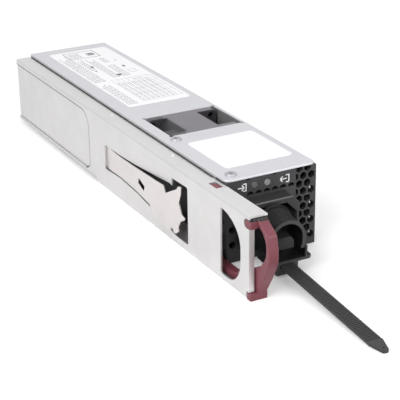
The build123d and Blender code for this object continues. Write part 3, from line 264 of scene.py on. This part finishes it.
def inside_group():
    """A mask that is 1 inside a box given by its middle and half size."""
    group = bpy.data.node_groups.new("inside_box", "ShaderNodeTree")
    group_sockets(
        group,
        (
            ("Vector", "NodeSocketVector", (0, 0, 0)),
            ("Middle", "NodeSocketVector", (0, 0, 0)),
            ("Half", "NodeSocketVector", (1, 1, 1)),
        ),
        (("Mask", "NodeSocketFloat"),),
    )
    tree, wires = group.nodes, group.links
    start = tree.new("NodeGroupInput")
    end = tree.new("NodeGroupOutput")
    away = tree.new("ShaderNodeVectorMath")
    away.operation = "SUBTRACT"
    size = tree.new("ShaderNodeVectorMath")
    size.operation = "ABSOLUTE"
    beyond = tree.new("ShaderNodeVectorMath")
    beyond.operation = "SUBTRACT"
    parts = tree.new("ShaderNodeSeparateXYZ")
    flat = tree.new("ShaderNodeMath")
    flat.operation = "MAXIMUM"
    most = tree.new("ShaderNodeMath")
    most.operation = "MAXIMUM"
    within = tree.new("ShaderNodeMath")
    within.operation = "LESS_THAN"
    within.inputs[1].default_value = 0.0
    wires.new(start.outputs["Vector"], away.inputs[0])
    wires.new(start.outputs["Middle"], away.inputs[1])
    wires.new(away.outputs[0], size.inputs[0])
    wires.new(size.outputs[0], beyond.inputs[0])
    wires.new(start.outputs["Half"], beyond.inputs[1])
    wires.new(beyond.outputs[0], parts.inputs[0])
    wires.new(parts.outputs["X"], flat.inputs[0])
    wires.new(parts.outputs["Y"], flat.inputs[1])
    wires.new(flat.outputs[0], most.inputs[0])
    wires.new(parts.outputs["Z"], most.inputs[1])
    wires.new(most.outputs[0], within.inputs[0])
    wires.new(within.outputs[0], end.inputs["Mask"])
    return group


def crease_group():
    """A mask along a rounded rectangle's outline in Y and Z, fading over the crease's width."""
    group = bpy.data.node_groups.new("crease_shade_outline", "ShaderNodeTree")
    group_sockets(
        group,
        (
            ("Vector", "NodeSocketVector", (0, 0, 0)),
            ("Middle", "NodeSocketVector", (0, 0, 0)),
            ("Half", "NodeSocketVector", (1, 1, 1)),
            ("Radius", "NodeSocketFloat", 0.008),
            ("Radius Low", "NodeSocketFloat", 0.005),
            ("Width", "NodeSocketFloat", 0.0005),
        ),
        (("Mask", "NodeSocketFloat"),),
    )
    tree, wires = group.nodes, group.links
    start = tree.new("NodeGroupInput")
    end = tree.new("NodeGroupOutput")

    def vector_step(operation, first, second):
        node = tree.new("ShaderNodeVectorMath")
        node.operation = operation
        wires.new(first, node.inputs[0])
        if second is not None:
            wires.new(second, node.inputs[1])
        return node.outputs["Value" if operation == "LENGTH" else "Vector"]

    def number_step(operation, first, second):
        node = tree.new("ShaderNodeMath")
        node.operation = operation
        wires.new(first, node.inputs[0])
        if second is not None:
            wires.new(second, node.inputs[1])
        return node.outputs[0]

    away = vector_step("SUBTRACT", start.outputs["Vector"], start.outputs["Middle"])
    side = tree.new("ShaderNodeSeparateXYZ")
    wires.new(away, side.inputs[0])
    upper = tree.new("ShaderNodeMath")
    upper.operation = "GREATER_THAN"
    upper.inputs[1].default_value = 0.0
    wires.new(side.outputs["Z"], upper.inputs[0])
    radius = tree.new("ShaderNodeMapRange")
    wires.new(upper.outputs[0], radius.inputs["Value"])
    wires.new(start.outputs["Radius Low"], radius.inputs["To Min"])
    wires.new(start.outputs["Radius"], radius.inputs["To Max"])
    corner = tree.new("ShaderNodeCombineXYZ")
    for axis in ("Y", "Z"):
        wires.new(radius.outputs[0], corner.inputs[axis])
    size = vector_step("ABSOLUTE", away, None)
    beyond = vector_step("SUBTRACT", size, start.outputs["Half"])
    beyond = vector_step("ADD", beyond, corner.outputs[0])
    parts = tree.new("ShaderNodeSeparateXYZ")
    wires.new(beyond, parts.inputs[0])
    zero = tree.new("ShaderNodeMath")
    zero.inputs[0].default_value = 0.0
    zero.inputs[1].default_value = 0.0
    out_y = number_step("MAXIMUM", parts.outputs["Y"], zero.outputs[0])
    out_z = number_step("MAXIMUM", parts.outputs["Z"], zero.outputs[0])
    outer = tree.new("ShaderNodeCombineXYZ")
    wires.new(out_y, outer.inputs["Y"])
    wires.new(out_z, outer.inputs["Z"])
    round_part = vector_step("LENGTH", outer.outputs[0], None)
    most = number_step("MAXIMUM", parts.outputs["Y"], parts.outputs["Z"])
    flat_part = number_step("MINIMUM", most, zero.outputs[0])
    both = number_step("ADD", round_part, flat_part)
    gap = number_step("SUBTRACT", both, radius.outputs[0])
    gap = number_step("ABSOLUTE", gap, None)
    fade = tree.new("ShaderNodeMapRange")
    fade.interpolation_type = "SMOOTHSTEP"
    fade.inputs["From Min"].default_value = 0.0
    fade.inputs["To Min"].default_value = 1.0
    fade.inputs["To Max"].default_value = 0.0
    wires.new(gap, fade.inputs["Value"])
    wires.new(start.outputs["Width"], fade.inputs["From Max"])
    wires.new(fade.outputs[0], end.inputs["Mask"])
    return group


inside_box = inside_group()
crease_shade_outline = crease_group()


def shade(material, group, settings, colour, turn=(0.0, 0.0, 0.0)):
    """Gives a material a second colour where a group's mask, turned to suit the piece, says."""
    tree, wires = material.node_tree.nodes, material.node_tree.links
    shader = next(node for node in tree if node.type == "BSDF_PRINCIPLED")
    place = next(node for node in tree if node.type == "TEX_COORD")
    mask = tree.new("ShaderNodeGroup")
    mask.node_tree = group
    for socket_name, value in settings.items():
        mask.inputs[socket_name].default_value = value
    both = tree.new("ShaderNodeMix")
    both.data_type = "RGBA"
    both.inputs["B"].default_value = colour
    turned = tree.new("ShaderNodeMapping")
    turned.inputs["Rotation"].default_value = turn
    under = shader.inputs["Base Color"].links[0].from_socket
    wires.new(place.outputs["Object"], turned.inputs["Vector"])
    wires.new(turned.outputs[0], mask.inputs["Vector"])
    wires.new(mask.outputs["Mask"], both.inputs["Factor"])
    wires.new(under, both.inputs["A"])
    wires.new(both.outputs["Result"], shader.inputs["Base Color"])


def zinc(name):
    """Zinc-plated sheet as it comes from the mill."""
    return surfaced(
        name,
        zinc_plating,
        {"Pale": (0.78, 0.77, 0.765, 1), "Dull": (0.66, 0.652, 0.655, 1), "Polish": 0.36, "Haze": 0.50},
        bump=(0.12, fine_deep),
        metallic=0.88,
    )


channel_zinc = zinc("channel_zinc")

# The crease's painted shade follows a rounded rectangle, which runs out past the channel's rear end. A
# half size of one metre takes in the whole piece.
crease_painted_shade = (0.10, 0.10, 0.105, 1)
crease_width = 0.80 * mm
crease_radius = 8.0 * mm
crease_radius_low = 5.0 * mm
crease_front = 13.0 * mm
crease_overrun = 20.0 * mm
crease_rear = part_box("side_bracket")[1].y + crease_overrun
crease_low_z = 4.0 * mm
crease_high_z = 34.5 * mm
whole = 1.0
shade(
    channel_zinc,
    crease_shade_outline,
    {
        "Middle": (0, (crease_front + crease_rear) / 2, (crease_low_z + crease_high_z) / 2),
        "Half": (whole, (crease_rear - crease_front) / 2, (crease_high_z - crease_low_z) / 2),
        "Radius": crease_radius,
        "Radius Low": crease_radius_low,
        "Width": crease_width,
    },
    crease_painted_shade,
)

# Along the bottom the field runs out at the channel's edge, so the painted shade line stops after its
# corner, where the bare zinc colour is painted back over it.
bare_zinc = (0.68, 0.675, 0.68, 1)
crease_end_y = crease_front + crease_radius_low
crease_end_z = 5.3 * mm
shade(
    channel_zinc,
    inside_box,
    {
        "Middle": (0, (crease_end_y + crease_rear) / 2, 0),
        "Half": (whole, (crease_rear - crease_end_y) / 2, crease_end_z),
    },
    bare_zinc,
)
dress(channel_zinc, "side_bracket")


# Base tray. Floor, two walls and the rear wall, folded from one zinc-plated sheet. Its left wall has
# the channel's shadow painted dark behind the latch leaf, and painted shade in a thin line along the
# seam over the channel.
tray_zinc = zinc("tray_zinc")
tray_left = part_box("base_tray")[0].x
leaf_low, leaf_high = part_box("latch_leaf")
leaf_middle = (leaf_low + leaf_high) / 2
leaf_half = (leaf_high - leaf_low) / 2
wall_skin = 0.1 * mm
wall_margin = 8.0 * mm
wall_painted_shadow = (0.06, 0.06, 0.062, 1)
# Painted shadow on the left wall, behind the latch leaf.
shade(
    tray_zinc,
    inside_box,
    {
        "Middle": (tray_left, leaf_middle.y, leaf_middle.z),
        "Half": (wall_skin, leaf_half.y + wall_margin, leaf_half.z),
    },
    wall_painted_shadow,
)
# Painted shade in a thin line along the seam, where the channel's flange meets the lid's edge.
seam_z = 37.3 * mm
seam_high = 0.40 * mm
seam_painted_shade = (0.10, 0.10, 0.102, 1)
shade(
    tray_zinc,
    inside_box,
    {"Middle": (tray_left, 0, seam_z), "Half": (wall_skin, whole, seam_high)},
    seam_painted_shade,
)
dress(tray_zinc, "base_tray")


# Top cover. A flat steel lid with narrow lips inside the walls, screwed down on the tray. Its plating
# is a little duller and bluer than the channel's.
lid_sheet = surfaced(
    "lid_sheet",
    zinc_plating,
    {"Pale": (0.72, 0.72, 0.75, 1), "Dull": (0.62, 0.62, 0.65, 1), "Polish": 0.42, "Haze": 0.54},
    bump=(0.12, fine_deep),
    metallic=0.8,
)
dress(lid_sheet, "top_cover")


# Latch leaf. Bright spring steel, rooted behind the channel's panel and bulging out through its window.
# It is stamped and left bare, so it shines more than the plated sheet.
spring_steel = surfaced(
    "spring_steel",
    zinc_plating,
    {"Pale": (0.80, 0.76, 0.75, 1), "Dull": (0.70, 0.66, 0.66, 1), "Polish": 0.18, "Haze": 0.30},
    bump=(0.10, fine_deep),
    metallic=1.0,
)
dress(spring_steel, "latch_leaf")


# Screws and rivets. Turned steel with a dull plating. The screws hold the lid and the main board, and
# the rivets hold the channel to the tray.
fastener_steel = surfaced(
    "fastener_steel",
    zinc_plating,
    {"Pale": (0.52, 0.52, 0.54, 1), "Dull": (0.42, 0.42, 0.44, 1), "Polish": 0.44, "Haze": 0.58},
    bump=(0.1, fine_deep),
    metallic=0.8,
)
dress(fastener_steel, "cover_screws", "bracket_rivets", "board_screws")


# Pull handle. One maroon moulding with a satin skin, hooked into the channel's open front end. Its
# edges come from the mould a little rounded, so that they catch the light.
skin_scale = 1500.0
skin_deep = 0.04 * mm
cloud_scale = 90.0
noise_detail = 3.0


def moulding_group():
    """Moulded plastic: slow colour drift from the flow, and the fine grain of the mould."""
    group = bpy.data.node_groups.new("moulded_skin", "ShaderNodeTree")
    group_sockets(
        group,
        (
            ("Vector", "NodeSocketVector", (0, 0, 0)),
            ("Light", "NodeSocketColor", (0.5, 0.5, 0.5, 1)),
            ("Dark", "NodeSocketColor", (0.4, 0.4, 0.4, 1)),
            ("Sheen", "NodeSocketFloat", 0.4),
            ("Matt", "NodeSocketFloat", 0.55),
        ),
        (("Color", "NodeSocketColor"), ("Roughness", "NodeSocketFloat"), ("Height", "NodeSocketFloat")),
    )
    tree, wires = group.nodes, group.links
    start = tree.new("NodeGroupInput")
    end = tree.new("NodeGroupOutput")
    cloud = tree.new("ShaderNodeTexNoise")
    cloud.inputs["Scale"].default_value = cloud_scale
    cloud.inputs["Detail"].default_value = noise_detail
    grain = tree.new("ShaderNodeTexNoise")
    grain.inputs["Scale"].default_value = skin_scale
    grain.inputs["Detail"].default_value = noise_detail
    colour = tree.new("ShaderNodeMix")
    colour.data_type = "RGBA"
    rough = tree.new("ShaderNodeMapRange")
    wires.new(start.outputs["Vector"], cloud.inputs["Vector"])
    wires.new(start.outputs["Vector"], grain.inputs["Vector"])
    wires.new(cloud.outputs["Fac"], colour.inputs["Factor"])
    wires.new(start.outputs["Light"], colour.inputs["A"])
    wires.new(start.outputs["Dark"], colour.inputs["B"])
    wires.new(grain.outputs["Fac"], rough.inputs["Value"])
    wires.new(start.outputs["Sheen"], rough.inputs["To Min"])
    wires.new(start.outputs["Matt"], rough.inputs["To Max"])
    wires.new(colour.outputs["Result"], end.inputs["Color"])
    wires.new(rough.outputs[0], end.inputs["Roughness"])
    wires.new(grain.outputs["Fac"], end.inputs["Height"])
    return group


moulded_skin = moulding_group()


def moulding(name, light, dark, sheen, matt, relief=0.25, gloss=0.5):
    """A moulded plastic in one colour."""
    settings = {"Light": (*light, 1), "Dark": (*dark, 1), "Sheen": sheen, "Matt": matt}
    return surfaced(name, moulded_skin, settings, bump=(relief, skin_deep), Specular_IOR_Level=gloss)


def finished(mesh, name, material, body):
    """Makes a mesh into a piece that rides on a body."""
    data = bpy.data.meshes.new(name)
    mesh.to_mesh(data)
    mesh.free()
    piece = bpy.data.objects.new(name, data)
    bpy.context.scene.collection.objects.link(piece)
    piece.data.materials.append(material)
    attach(piece, body)
    return piece


weld_distance = 0.002 * mm
flat_angle = math.radians(0.5)
sharp_angle = math.radians(32)
rounding_steps = 2


def eased(name, radius, material, body):
    """A merged copy of a CAD node, worn in its place, with every sharp edge rounded a little."""
    mesh = bmesh.new()
    mesh.from_mesh(nodes[name].data)
    bmesh.ops.remove_doubles(mesh, verts=mesh.verts, dist=weld_distance)
    bmesh.ops.dissolve_limit(mesh, angle_limit=flat_angle, verts=mesh.verts, edges=mesh.edges)
    for face in mesh.faces:
        face.smooth = True
    piece = finished(mesh, name + "_eased", material, body)
    rounding = piece.modifiers.new("rounded_edges", "BEVEL")
    rounding.width = radius
    rounding.segments = rounding_steps
    rounding.limit_method = "ANGLE"
    rounding.angle_limit = sharp_angle
    rounding.harden_normals = True
    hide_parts(name)
    return piece


# The top foot of the handle has the shadow under the channel's flange painted dark into its colour.
maroon_nylon = moulding(
    "maroon_nylon", (0.185, 0.044, 0.060), (0.142, 0.031, 0.043), sheen=0.30, matt=0.50
)
handle_low, handle_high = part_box("pull_handle")
handle_edge = 0.45 * mm
handle_shadow_deep = 1.7 * mm
handle_shadow_long = 30.0 * mm
handle_painted_shadow = (0.012, 0.008, 0.009, 1)
shade(
    maroon_nylon,
    inside_box,
    {
        "Middle": (handle_low.x, handle_low.y, handle_high.z),
        "Half": (handle_high.x - handle_low.x, handle_shadow_long, handle_shadow_deep),
    },
    handle_painted_shadow,
)
dress(maroon_nylon, "pull_handle")
eased("pull_handle", handle_edge, maroon_nylon, "chassis")


# Front bezel. Black moulded honeycomb that holds the inlet, the light pipes and the strap's peg.
# Two white signs are printed on its plain band: an arrow into a frame, and one that points out.
black_polymer = moulding(
    "black_polymer", (0.048, 0.048, 0.050), (0.026, 0.026, 0.028), sheen=0.34, matt=0.52, gloss=0.4
)
dress(black_polymer, "front_bezel")

sign_white = moulding(
    "sign_white", (0.86, 0.86, 0.86), (0.74, 0.74, 0.74), sheen=0.35, matt=0.5, relief=0.05
)
bezel_low, bezel_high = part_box("front_bezel")
sign_stroke = 0.46 * mm
sign_wide = 4.7 * mm
sign_high = 3.7 * mm
sign_skin = 0.04 * mm
sign_left_x = 5.3 * mm
sign_right_x = 26.9 * mm
sign_drop = 3.7 * mm
arrow_wing = 1.75 * mm
wing_angle = math.radians(45)
frame_share = 0.62
shaft_share = 0.72
tip_share = 0.76


def block(mesh, low, high):
    """A flat block between two corners."""
    made = bmesh.ops.create_cube(mesh, size=1.0)["verts"]
    low, high = Vector(low), Vector(high)
    bmesh.ops.scale(mesh, vec=high - low, verts=made)
    bmesh.ops.translate(mesh, vec=(low + high) / 2, verts=made)
    return made


def arrow_sign(name, left, middle_z, points_in):
    """An open frame with an arrow across its open side, standing a hair proud of the band."""
    face_y = bezel_low.y
    mesh = bmesh.new()
    near, far = face_y - sign_skin, face_y + sign_skin

    def stroke(x_a, x_b, z_a, z_b):
        return block(mesh, (left + x_a, near, middle_z + z_a), (left + x_b, far, middle_z + z_b))

    half = sign_high / 2
    frame_x = sign_wide * frame_share
    stroke(sign_wide - sign_stroke, sign_wide, -half, half)
    stroke(frame_x, sign_wide - sign_stroke, half - sign_stroke, half)
    stroke(frame_x, sign_wide - sign_stroke, -half, sign_stroke - half)
    stroke(sign_stroke, sign_wide * shaft_share, -sign_stroke / 2, sign_stroke / 2)
    tip = sign_wide * tip_share if points_in else 0
    back = -1 if points_in else 1
    for slope in (1, -1):
        wing = stroke(0, arrow_wing, -sign_stroke / 2, sign_stroke / 2)
        root = Vector((left, face_y, middle_z))
        spin = Matrix.Rotation(wing_angle * slope * back, 4, "Y")
        aim = Matrix.Scale(back, 4, Vector((1, 0, 0)))
        bmesh.ops.transform(mesh, matrix=spin @ aim, verts=wing, space=Matrix.Translation(-root))
        bmesh.ops.translate(mesh, vec=(tip, 0, 0), verts=wing)
    bmesh.ops.recalc_face_normals(mesh, faces=mesh.faces)
    return finished(mesh, name, sign_white, "chassis")


arrow_sign("sign_in", bezel_low.x + sign_left_x, bezel_high.z - sign_drop, True)
arrow_sign("sign_out", bezel_low.x + sign_right_x, bezel_high.z - sign_drop, False)


# Mains inlet. A harder black moulding that stands out of the bezel's plain frame, with three plated
# blades pressed into it. Its collar's front rim at the top has a painted highlight, and its recess is
# painted nearly dark as shade.
inlet_polymer = moulding(
    "inlet_polymer", (0.034, 0.034, 0.035), (0.024, 0.024, 0.025), sheen=0.26, matt=0.42, gloss=0.3
)
blade_nickel = surfaced(
    "blade_nickel",
    zinc_plating,
    {"Pale": (0.80, 0.77, 0.70, 1), "Dull": (0.66, 0.63, 0.57, 1), "Polish": 0.16, "Haze": 0.28},
    bump=(0.06, fine_deep),
    metallic=1.0,
)
inlet_low, inlet_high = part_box("inlet_housing")
inlet_edge = 0.25 * mm
flange_step = 1.1 * mm
collar_top = inlet_high.z - flange_step
# Painted highlight along the collar's front rim at the top.
rim_deep = 0.5 * mm
rim_thick = 0.45 * mm
rim_painted_highlight = (0.11, 0.11, 0.112, 1)
shade(
    inlet_polymer,
    inside_box,
    {"Middle": (0, inlet_low.y, collar_top), "Half": (whole, rim_deep, rim_thick)},
    rim_painted_highlight,
)
# Painted shade in the collar's recess, inside its walls.
collar_wall = 1.6 * mm
recess_painted_shade = (0.006, 0.006, 0.006, 1)
recess_low = inlet_low + Vector((flange_step + collar_wall, rim_deep, collar_wall))
recess_high = inlet_high - Vector((flange_step + collar_wall, 0, flange_step + collar_wall))
shade(
    inlet_polymer,
    inside_box,
    {"Middle": (recess_low + recess_high) / 2, "Half": (recess_high - recess_low) / 2},
    recess_painted_shade,
)
dress(inlet_polymer, "inlet_housing")
eased("inlet_housing", inlet_edge, inlet_polymer, "chassis")
dress(blade_nickel, "inlet_pin_line", "inlet_pin_neutral", "inlet_pin_earth")


# Light pipes. Two frosted clear rods behind the status holes in the bezel's band. They are unlit, and
# one is a little paler than the other.
pipe_dim = moulding("pipe_dim", (0.10, 0.105, 0.10), (0.07, 0.075, 0.07), sheen=0.12, matt=0.25)
pipe_pale = moulding("pipe_pale", (0.24, 0.24, 0.24), (0.17, 0.17, 0.17), sheen=0.12, matt=0.25)
dress(pipe_dim, "light_pipe_left")
dress(pipe_pale, "light_pipe_right")


# Cord strap and cord clip. Two black nylon mouldings: the toothed strap is pushed into the bezel with
# its peg, and the clip slides on it. The strap's colour is painted a shade greyer as sheen, for the
# light its fine teeth catch, and the clip's front rim has a painted highlight.
# The strap's black is painted a shade greyer as sheen from its teeth.
strap_nylon = moulding(
    "strap_nylon",
    (0.042, 0.042, 0.043),
    (0.023, 0.023, 0.024),
    sheen=0.40,
    matt=0.62,
    relief=0.5,
    gloss=0.4,
)
clip_nylon = moulding(
    "clip_nylon", (0.012, 0.012, 0.013), (0.007, 0.007, 0.008), sheen=0.32, matt=0.48, gloss=0.14
)
dress(strap_nylon, "cord_strap")
clip_turn = (math.radians(-3.5), 0.0, math.radians(1.8))
clip_edge = 0.25 * mm
clip_front_y = -133.4 * mm
clip_rim_deep = 0.9 * mm
clip_rim_painted_highlight = (0.060, 0.060, 0.062, 1)
# Painted highlight along the clip's front rim.
shade(
    clip_nylon,
    inside_box,
    {"Middle": (0, clip_front_y, 0), "Half": (whole, clip_rim_deep, whole)},
    clip_rim_painted_highlight,
    clip_turn,
)
dress(clip_nylon, "cord_clip")
eased("cord_clip", clip_edge, clip_nylon, "clip")


# Fan. A grey-violet moulded housing that stands on the tray's floor and reaches up through the lid,
# with a darker rotor that turns on the wound copper stator in its hub.
fan_polymer = moulding(
    "fan_polymer", (0.185, 0.175, 0.195), (0.140, 0.132, 0.148), sheen=0.34, matt=0.52
)
rotor_polymer = moulding(
    "rotor_polymer", (0.06, 0.055, 0.058), (0.045, 0.04, 0.043), sheen=0.30, matt=0.48
)
wire_deep = 0.10 * mm
copper_wire = surfaced(
    "copper_wire",
    zinc_plating,
    {"Pale": (0.72, 0.34, 0.17, 1), "Dull": (0.5, 0.22, 0.1, 1), "Polish": 0.25, "Haze": 0.4},
    bump=(0.4, wire_deep),
    metallic=0.9,
)

# Painted shadow: on the left a strip of the housing's top face is painted dark as the lid's shadow,
# and everything below that face is painted darker still as shade.
fan_low, fan_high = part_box("fan_frame")
fan_skin = 0.5 * mm
fan_edge = Vector((fan_skin, fan_skin, fan_skin))
fan_dim_wide = 8.5 * mm
fan_painted_shadow = (0.060, 0.056, 0.064, 1)
fan_dim_high = Vector((fan_low.x + fan_dim_wide, fan_high.y, fan_high.z)) + fan_edge
fan_painted_shade = (0.030, 0.028, 0.032, 1)
fan_dark_high = Vector((fan_high.x + fan_skin, fan_high.y + fan_skin, fan_high.z - fan_skin))
for shadow_low, shadow_high, shadow_colour in (
    (fan_low, fan_dim_high, fan_painted_shadow),
    (fan_low - fan_edge, fan_dark_high, fan_painted_shade),
):
    shade(
        fan_polymer,
        inside_box,
        {"Middle": (shadow_low + shadow_high) / 2, "Half": (shadow_high - shadow_low) / 2},
        shadow_colour,
    )
dress(fan_polymer, "fan_frame")
dress(rotor_polymer, "fan_rotor")
dress(copper_wire, "fan_stator", "emi_choke")


# Labels. White film stuck on the lid. The rear one is printed in grey along its length with rows of
# words, a table, a framed box, a square code and a few round marks, and the front one is bare.
label_film = moulding(
    "label_film", (0.90, 0.90, 0.91), (0.86, 0.86, 0.88), sheen=0.24, matt=0.36, relief=0.05
)
label_ink = moulding(
    "label_ink", (0.27, 0.265, 0.32), (0.21, 0.205, 0.26), sheen=0.4, matt=0.5, relief=0.05
)
mark_ink = moulding(
    "mark_ink", (0.10, 0.10, 0.11), (0.07, 0.07, 0.08), sheen=0.4, matt=0.5, relief=0.05
)
dress(label_film, "rating_label", "blank_label")

ink_high = 0.02 * mm
word_shortest = 0.8
word_longest = 3.2
word_gap = 0.7 * mm
row_thick = 0.38 * mm
row_step = 1.15 * mm
row_ragged = 0.25
rule_thick = 0.16 * mm
label_low, label_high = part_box("rating_label")
print_choice = random.Random(5)


def on_label(across, along):
    """A place on the rear label, as shares of its width and of its length from the front."""
    return Vector((
        label_low.x + across * (label_high.x - label_low.x),
        label_low.y + along * (label_high.y - label_low.y),
        label_high.z,
    ))


def patch(mesh, left, front, right, rear):
    """A printed rectangle on the label, given by its edges."""
    return block(mesh, (left, front, label_high.z - ink_high), (right, rear, label_high.z + ink_high))


def words(mesh, start, stop, rows):
    """Rows of words side by side, each row running along the label."""
    for row in range(rows):
        row_x = start.x + row * row_step
        y = start.y
        row_end = stop.y - print_choice.uniform(0, row_ragged) * (stop.y - start.y)
        while y < row_end:
            length = print_choice.uniform(word_shortest, word_longest) * mm
            patch(mesh, row_x, y, row_x + row_thick, min(y + length, stop.y))
            y += length + word_gap


def frame_lines(mesh, low, high, thick=rule_thick):
    """Four thin rules round a rectangle."""
    patch(mesh, low.x, low.y, high.x, low.y + thick)
    patch(mesh, low.x, high.y - thick, high.x, high.y)
    patch(mesh, low.x, low.y, low.x + thick, high.y)
    patch(mesh, high.x - thick, low.y, high.x, high.y)


spot_sides = 24


def round_mark(mesh, centre, radius, stretch):
    """A round printed spot, longer along the label if it is stretched."""
    spot = bmesh.ops.create_cone(
        mesh, cap_ends=True, segments=spot_sides, radius1=radius, radius2=radius, depth=2 * ink_high
    )["verts"]
    bmesh.ops.scale(mesh, vec=(1, stretch, 1), verts=spot)
    bmesh.ops.translate(mesh, vec=centre, verts=spot)


# The small print: columns of words, each from a start to a stop along the label, then the table.
small_print = bmesh.new()
for start_across, start_along, stop_along, rows in (
    (0.04, 0.42, 0.97, 6),
    (0.26, 0.62, 0.85, 3),
    (0.40, 0.46, 0.83, 4),
    (0.58, 0.46, 0.68, 4),
    (0.62, 0.72, 0.82, 3),
    (0.25, 0.865, 0.955, 6),
    (0.04, 0.03, 0.38, 5),
):
    words(small_print, on_label(start_across, start_along), on_label(start_across, stop_along), rows)

table_columns = 8
table_rules = (0.3, 0.52, 0.76)
cell_word_back = 1.8 * mm
cell_margin = 1.0 * mm
table_low, table_high = on_label(0.30, 0.05), on_label(0.95, 0.42)
frame_lines(small_print, table_low, table_high)
for share in table_rules:
    rule_y = table_low.y + share * (table_high.y - table_low.y)
    patch(small_print, table_low.x, rule_y, table_high.x, rule_y + rule_thick)
for column in range(1, table_columns):
    rule_x = table_low.x + column / table_columns * (table_high.x - table_low.x)
    patch(small_print, rule_x, table_low.y, rule_x + rule_thick, table_high.y)
    cell_start = Vector((rule_x - cell_word_back, table_low.y + cell_margin, 0))
    cell_stop = Vector((rule_x, table_high.y - cell_margin, 0))
    words(small_print, cell_start, cell_stop, 1)
finished(small_print, "label_print", label_ink, "chassis")

# The darker marks: a framed box, a square code of random cells, five round spots and a small frame.
marks = bmesh.new()
box_rule_thick = 0.38 * mm
frame_lines(marks, on_label(0.20, 0.85), on_label(0.72, 0.97), box_rule_thick)
code_cells = 9
code_cell = 0.50 * mm
code_filled = 0.55
code_corner = on_label(0.54, 0.885)
for cell in range(code_cells * code_cells):
    if print_choice.random() < code_filled:
        cell_x = code_corner.x + cell % code_cells * code_cell
        cell_y = code_corner.y + cell // code_cells * code_cell
        patch(marks, cell_x, cell_y, cell_x + code_cell, cell_y + code_cell)
for across, along, radius, stretch in (
    (0.82, 0.735, 0.55, 1.0),
    (0.80, 0.62, 0.75, 2.2),
    (0.54, 0.492, 1.5, 1.0),
    (0.34, 0.68, 0.9, 1.6),
    (0.30, 0.60, 0.6, 1.2),
):
    round_mark(marks, on_label(across, along), radius * mm, stretch)
frame_lines(marks, on_label(0.76, 0.50), on_label(0.88, 0.55))
finished(marks, "label_marks", mark_ink, "chassis")


# Boards and the parts on them. Green laminate on brass standoffs over a black insulating film, with
# aluminium heat sinks, sleeved cans and moulded parts soldered on. All of it is closed in the box and
# seen only through its openings.
board_green = moulding("board_green", (0.02, 0.14, 0.06), (0.015, 0.10, 0.045), sheen=0.22, matt=0.36)
film_black = moulding("film_black", (0.03, 0.03, 0.03), (0.02, 0.02, 0.02), sheen=0.3, matt=0.4)
can_blue = moulding("can_blue", (0.03, 0.04, 0.08), (0.02, 0.03, 0.06), sheen=0.18, matt=0.3)
cap_yellow = moulding("cap_yellow", (0.7, 0.5, 0.06), (0.6, 0.42, 0.05), sheen=0.25, matt=0.4)
fuse_white = moulding("fuse_white", (0.75, 0.75, 0.72), (0.65, 0.65, 0.62), sheen=0.2, matt=0.35)
core_grey = moulding("core_grey", (0.07, 0.07, 0.075), (0.05, 0.05, 0.055), sheen=0.5, matt=0.7)
brushed_deep = 0.03 * mm
bare_aluminium = surfaced(
    "bare_aluminium",
    zinc_plating,
    {"Pale": (0.80, 0.81, 0.82, 1), "Dull": (0.70, 0.71, 0.72, 1), "Polish": 0.3, "Haze": 0.45},
    bump=(0.2, brushed_deep),
    metallic=1.0,
)
post_brass = surfaced(
    "post_brass",
    zinc_plating,
    {"Pale": (0.85, 0.66, 0.32, 1), "Dull": (0.7, 0.52, 0.24, 1), "Polish": 0.2, "Haze": 0.35},
    bump=(0.1, fine_deep),
    metallic=1.0,
)
dress(board_green, "filter_board", "main_board", "control_card")
dress(film_black, "insulator_film")
dress(can_blue, "bulk_capacitor", "output_capacitors")
dress(cap_yellow, "filter_capacitor")
dress(fuse_white, "line_fuse")
dress(core_grey, "transformer")
dress(bare_aluminium, "heat_sink_primary", "heat_sink_output")
dress(post_brass, "board_standoffs", "edge_contacts")
